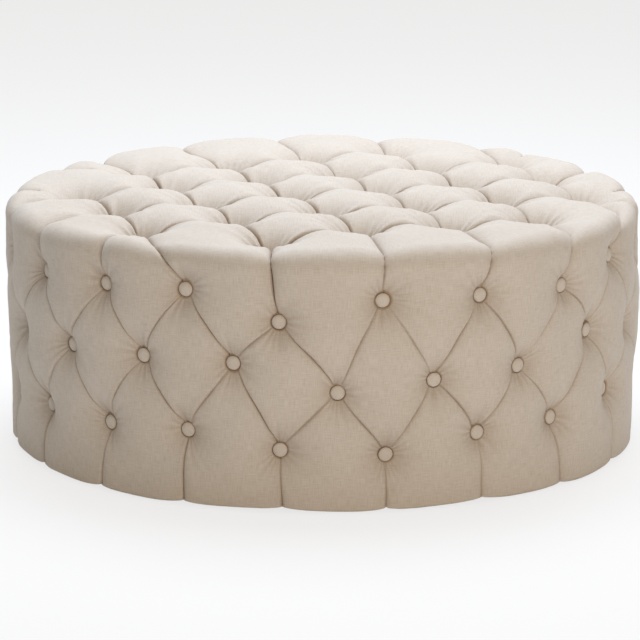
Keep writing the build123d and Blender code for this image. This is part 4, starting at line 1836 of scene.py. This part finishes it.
@dataclass(frozen=True)
class Softbox:
    """A square softbox that faces the object; its lengths are in metres, its power in watts."""

    name: str
    place: tuple[float, float, float]
    size: float
    power: float
    shade: str
    aim_height: float = 0.25

    def hang(self) -> None:
        """Hangs the lamp in the studio."""
        light = bpy.data.lights.new(self.name, "AREA")
        light.size = self.size
        light.energy = self.power
        light.color = linear(self.shade)[:3]
        lamp = bpy.data.objects.new(self.name, light)
        lamp.location = self.place
        aim = Vector((0, 0, self.aim_height)) - Vector(self.place)
        lamp.rotation_euler = aim.to_track_quat("-Z", "Y").to_euler()
        bpy.context.scene.collection.objects.link(lamp)


@dataclass
class Studio:
    """A plain pale floor, soft lamps and the camera at the photograph's angle.

    Its lengths are in metres, apart from the sensor's width and the lens, in millimetres.
    """

    floor_half: float = 14.0
    paper_shade: str = "#F2F1EF"
    # The share of plain white in what the camera sees of the floor; the rest is lit paper,
    # which keeps the object's shadow.
    paper_glow: float = 0.75
    camera_back: float = 5.8577
    camera_height: float = 1.5712
    camera_pitch: float = 0.2331
    camera_reach: float = 60.0
    sensor_width: float = 36.0
    lens: float = 209.64
    shift_x: float = -0.0041
    world_light: float = 0.3
    fill_shade: str = "#FFF7EC"
    # The light from above is a little cooler than the light from the front.
    softboxes: tuple[Softbox, ...] = (
        Softbox("overhead_softbox", (0.1, 1.0, 3.0), 2.2, 121.0, "#E4EFFF"),
        Softbox("front_softbox", (1.3, -3.8, 1.3), 1.8, 38.0, "#FFEEDB"),
    )

    def build(self) -> None:
        """Makes the floor, the world, the lamps and the camera."""
        self.lay_floor()
        self.light_world()
        for softbox in self.softboxes:
            softbox.hang()
        self.set_camera()
        log.info("studio: floor, %d softboxes, camera", len(self.softboxes))

    def white_to_camera(self, tree: bpy.types.NodeTree) -> bpy.types.NodeSocket:
        """Adds the share of rays that see plain white: the camera's, and mirrored ones.

        Args:
            tree: the node tree of the paper or the world.

        Returns:
            The socket that gives the share.
        """
        path = add_node(tree, "ShaderNodeLightPath").outputs
        share = path["Is Camera Ray"]
        for kind in ("Is Glossy Ray", "Is Transmission Ray"):
            both = add_node(tree, "ShaderNodeMath", {0: share, 1: path[kind]}, operation="MAXIMUM")
            share = both.outputs[0]
        return share

    def lay_floor(self) -> None:
        """Lays the floor: white to the eye, but it keeps the object's shadow."""
        bm = bmesh.new()
        bmesh.ops.create_grid(bm, x_segments=1, y_segments=1, size=self.floor_half)
        mesh = bpy.data.meshes.new("studio_floor")
        bm.to_mesh(mesh)
        bm.free()
        floor = bpy.data.objects.new("studio_floor", mesh)
        bpy.context.scene.collection.objects.link(floor)
        paper = bpy.data.materials.new("matt_white_paper")
        paper.use_nodes = True
        tree = paper.node_tree
        surface = tree.nodes["Principled BSDF"]
        shade = linear(self.paper_shade)
        look = {"Base Color": shade, "Roughness": 0.95, "Specular IOR Level": 0.1}
        set_inputs(tree, surface, look)
        glow = add_node(tree, "ShaderNodeEmission", {"Strength": 1.0})
        white = self.white_to_camera(tree)
        share = add_node(
            tree, "ShaderNodeMath", {0: white, 1: self.paper_glow}, operation="MULTIPLY"
        )
        sources = {0: share.outputs[0], 1: surface.outputs[0], 2: glow.outputs[0]}
        mixed = add_node(tree, "ShaderNodeMixShader", sources)
        set_inputs(tree, tree.nodes["Material Output"], {"Surface": mixed.outputs[0]})
        mesh.materials.append(paper)

    def light_world(self) -> None:
        """Fills the studio with even light, and shows the camera plain white."""
        world = bpy.data.worlds.new("white_studio")
        bpy.context.scene.world = world
        world.use_nodes = True
        tree = world.node_tree
        white = self.white_to_camera(tree)
        strength = add_node(
            tree,
            "ShaderNodeMapRange",
            {"Value": white, "To Min": self.world_light, "To Max": 1.0},
        )
        shades = {0: white, 6: linear(self.fill_shade), 7: linear("#FFFFFF")}
        shade = add_node(tree, "ShaderNodeMix", shades, data_type="RGBA")
        light = {"Color": shade.outputs[2], "Strength": strength.outputs["Result"]}
        set_inputs(tree, tree.nodes["Background"], light)

    def set_camera(self) -> None:
        """Puts the camera where the photograph was taken from."""
        data = bpy.data.cameras.new("photo_camera")
        data.sensor_width = self.sensor_width
        data.lens = self.lens
        data.shift_x = self.shift_x
        data.clip_end = self.camera_reach
        camera = bpy.data.objects.new("photo_camera", data)
        camera.location = (0.0, -self.camera_back, self.camera_height)
        camera.rotation_euler = (math.pi / 2 - self.camera_pitch, 0.0, 0.0)
        bpy.context.scene.collection.objects.link(camera)
        bpy.context.scene.camera = camera


def main() -> None:
    """Builds the ottoman over its frame and sets up the studio."""
    logging.basicConfig(level=logging.INFO, format="%(name)s %(message)s", stream=sys.stdout)
    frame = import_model()
    bpy.context.scene.view_settings.view_transform = "Standard"
    cover = TuftedCover(TuftPlan(DrumOutline()))
    cover.build()
    CoveredButtons(cover).build()
    FoamBody(frame["nodes"], cover).build()
    HiddenFrame(frame["nodes"]).dress()
    Studio().build()


if __name__ == "__main__":
    main()
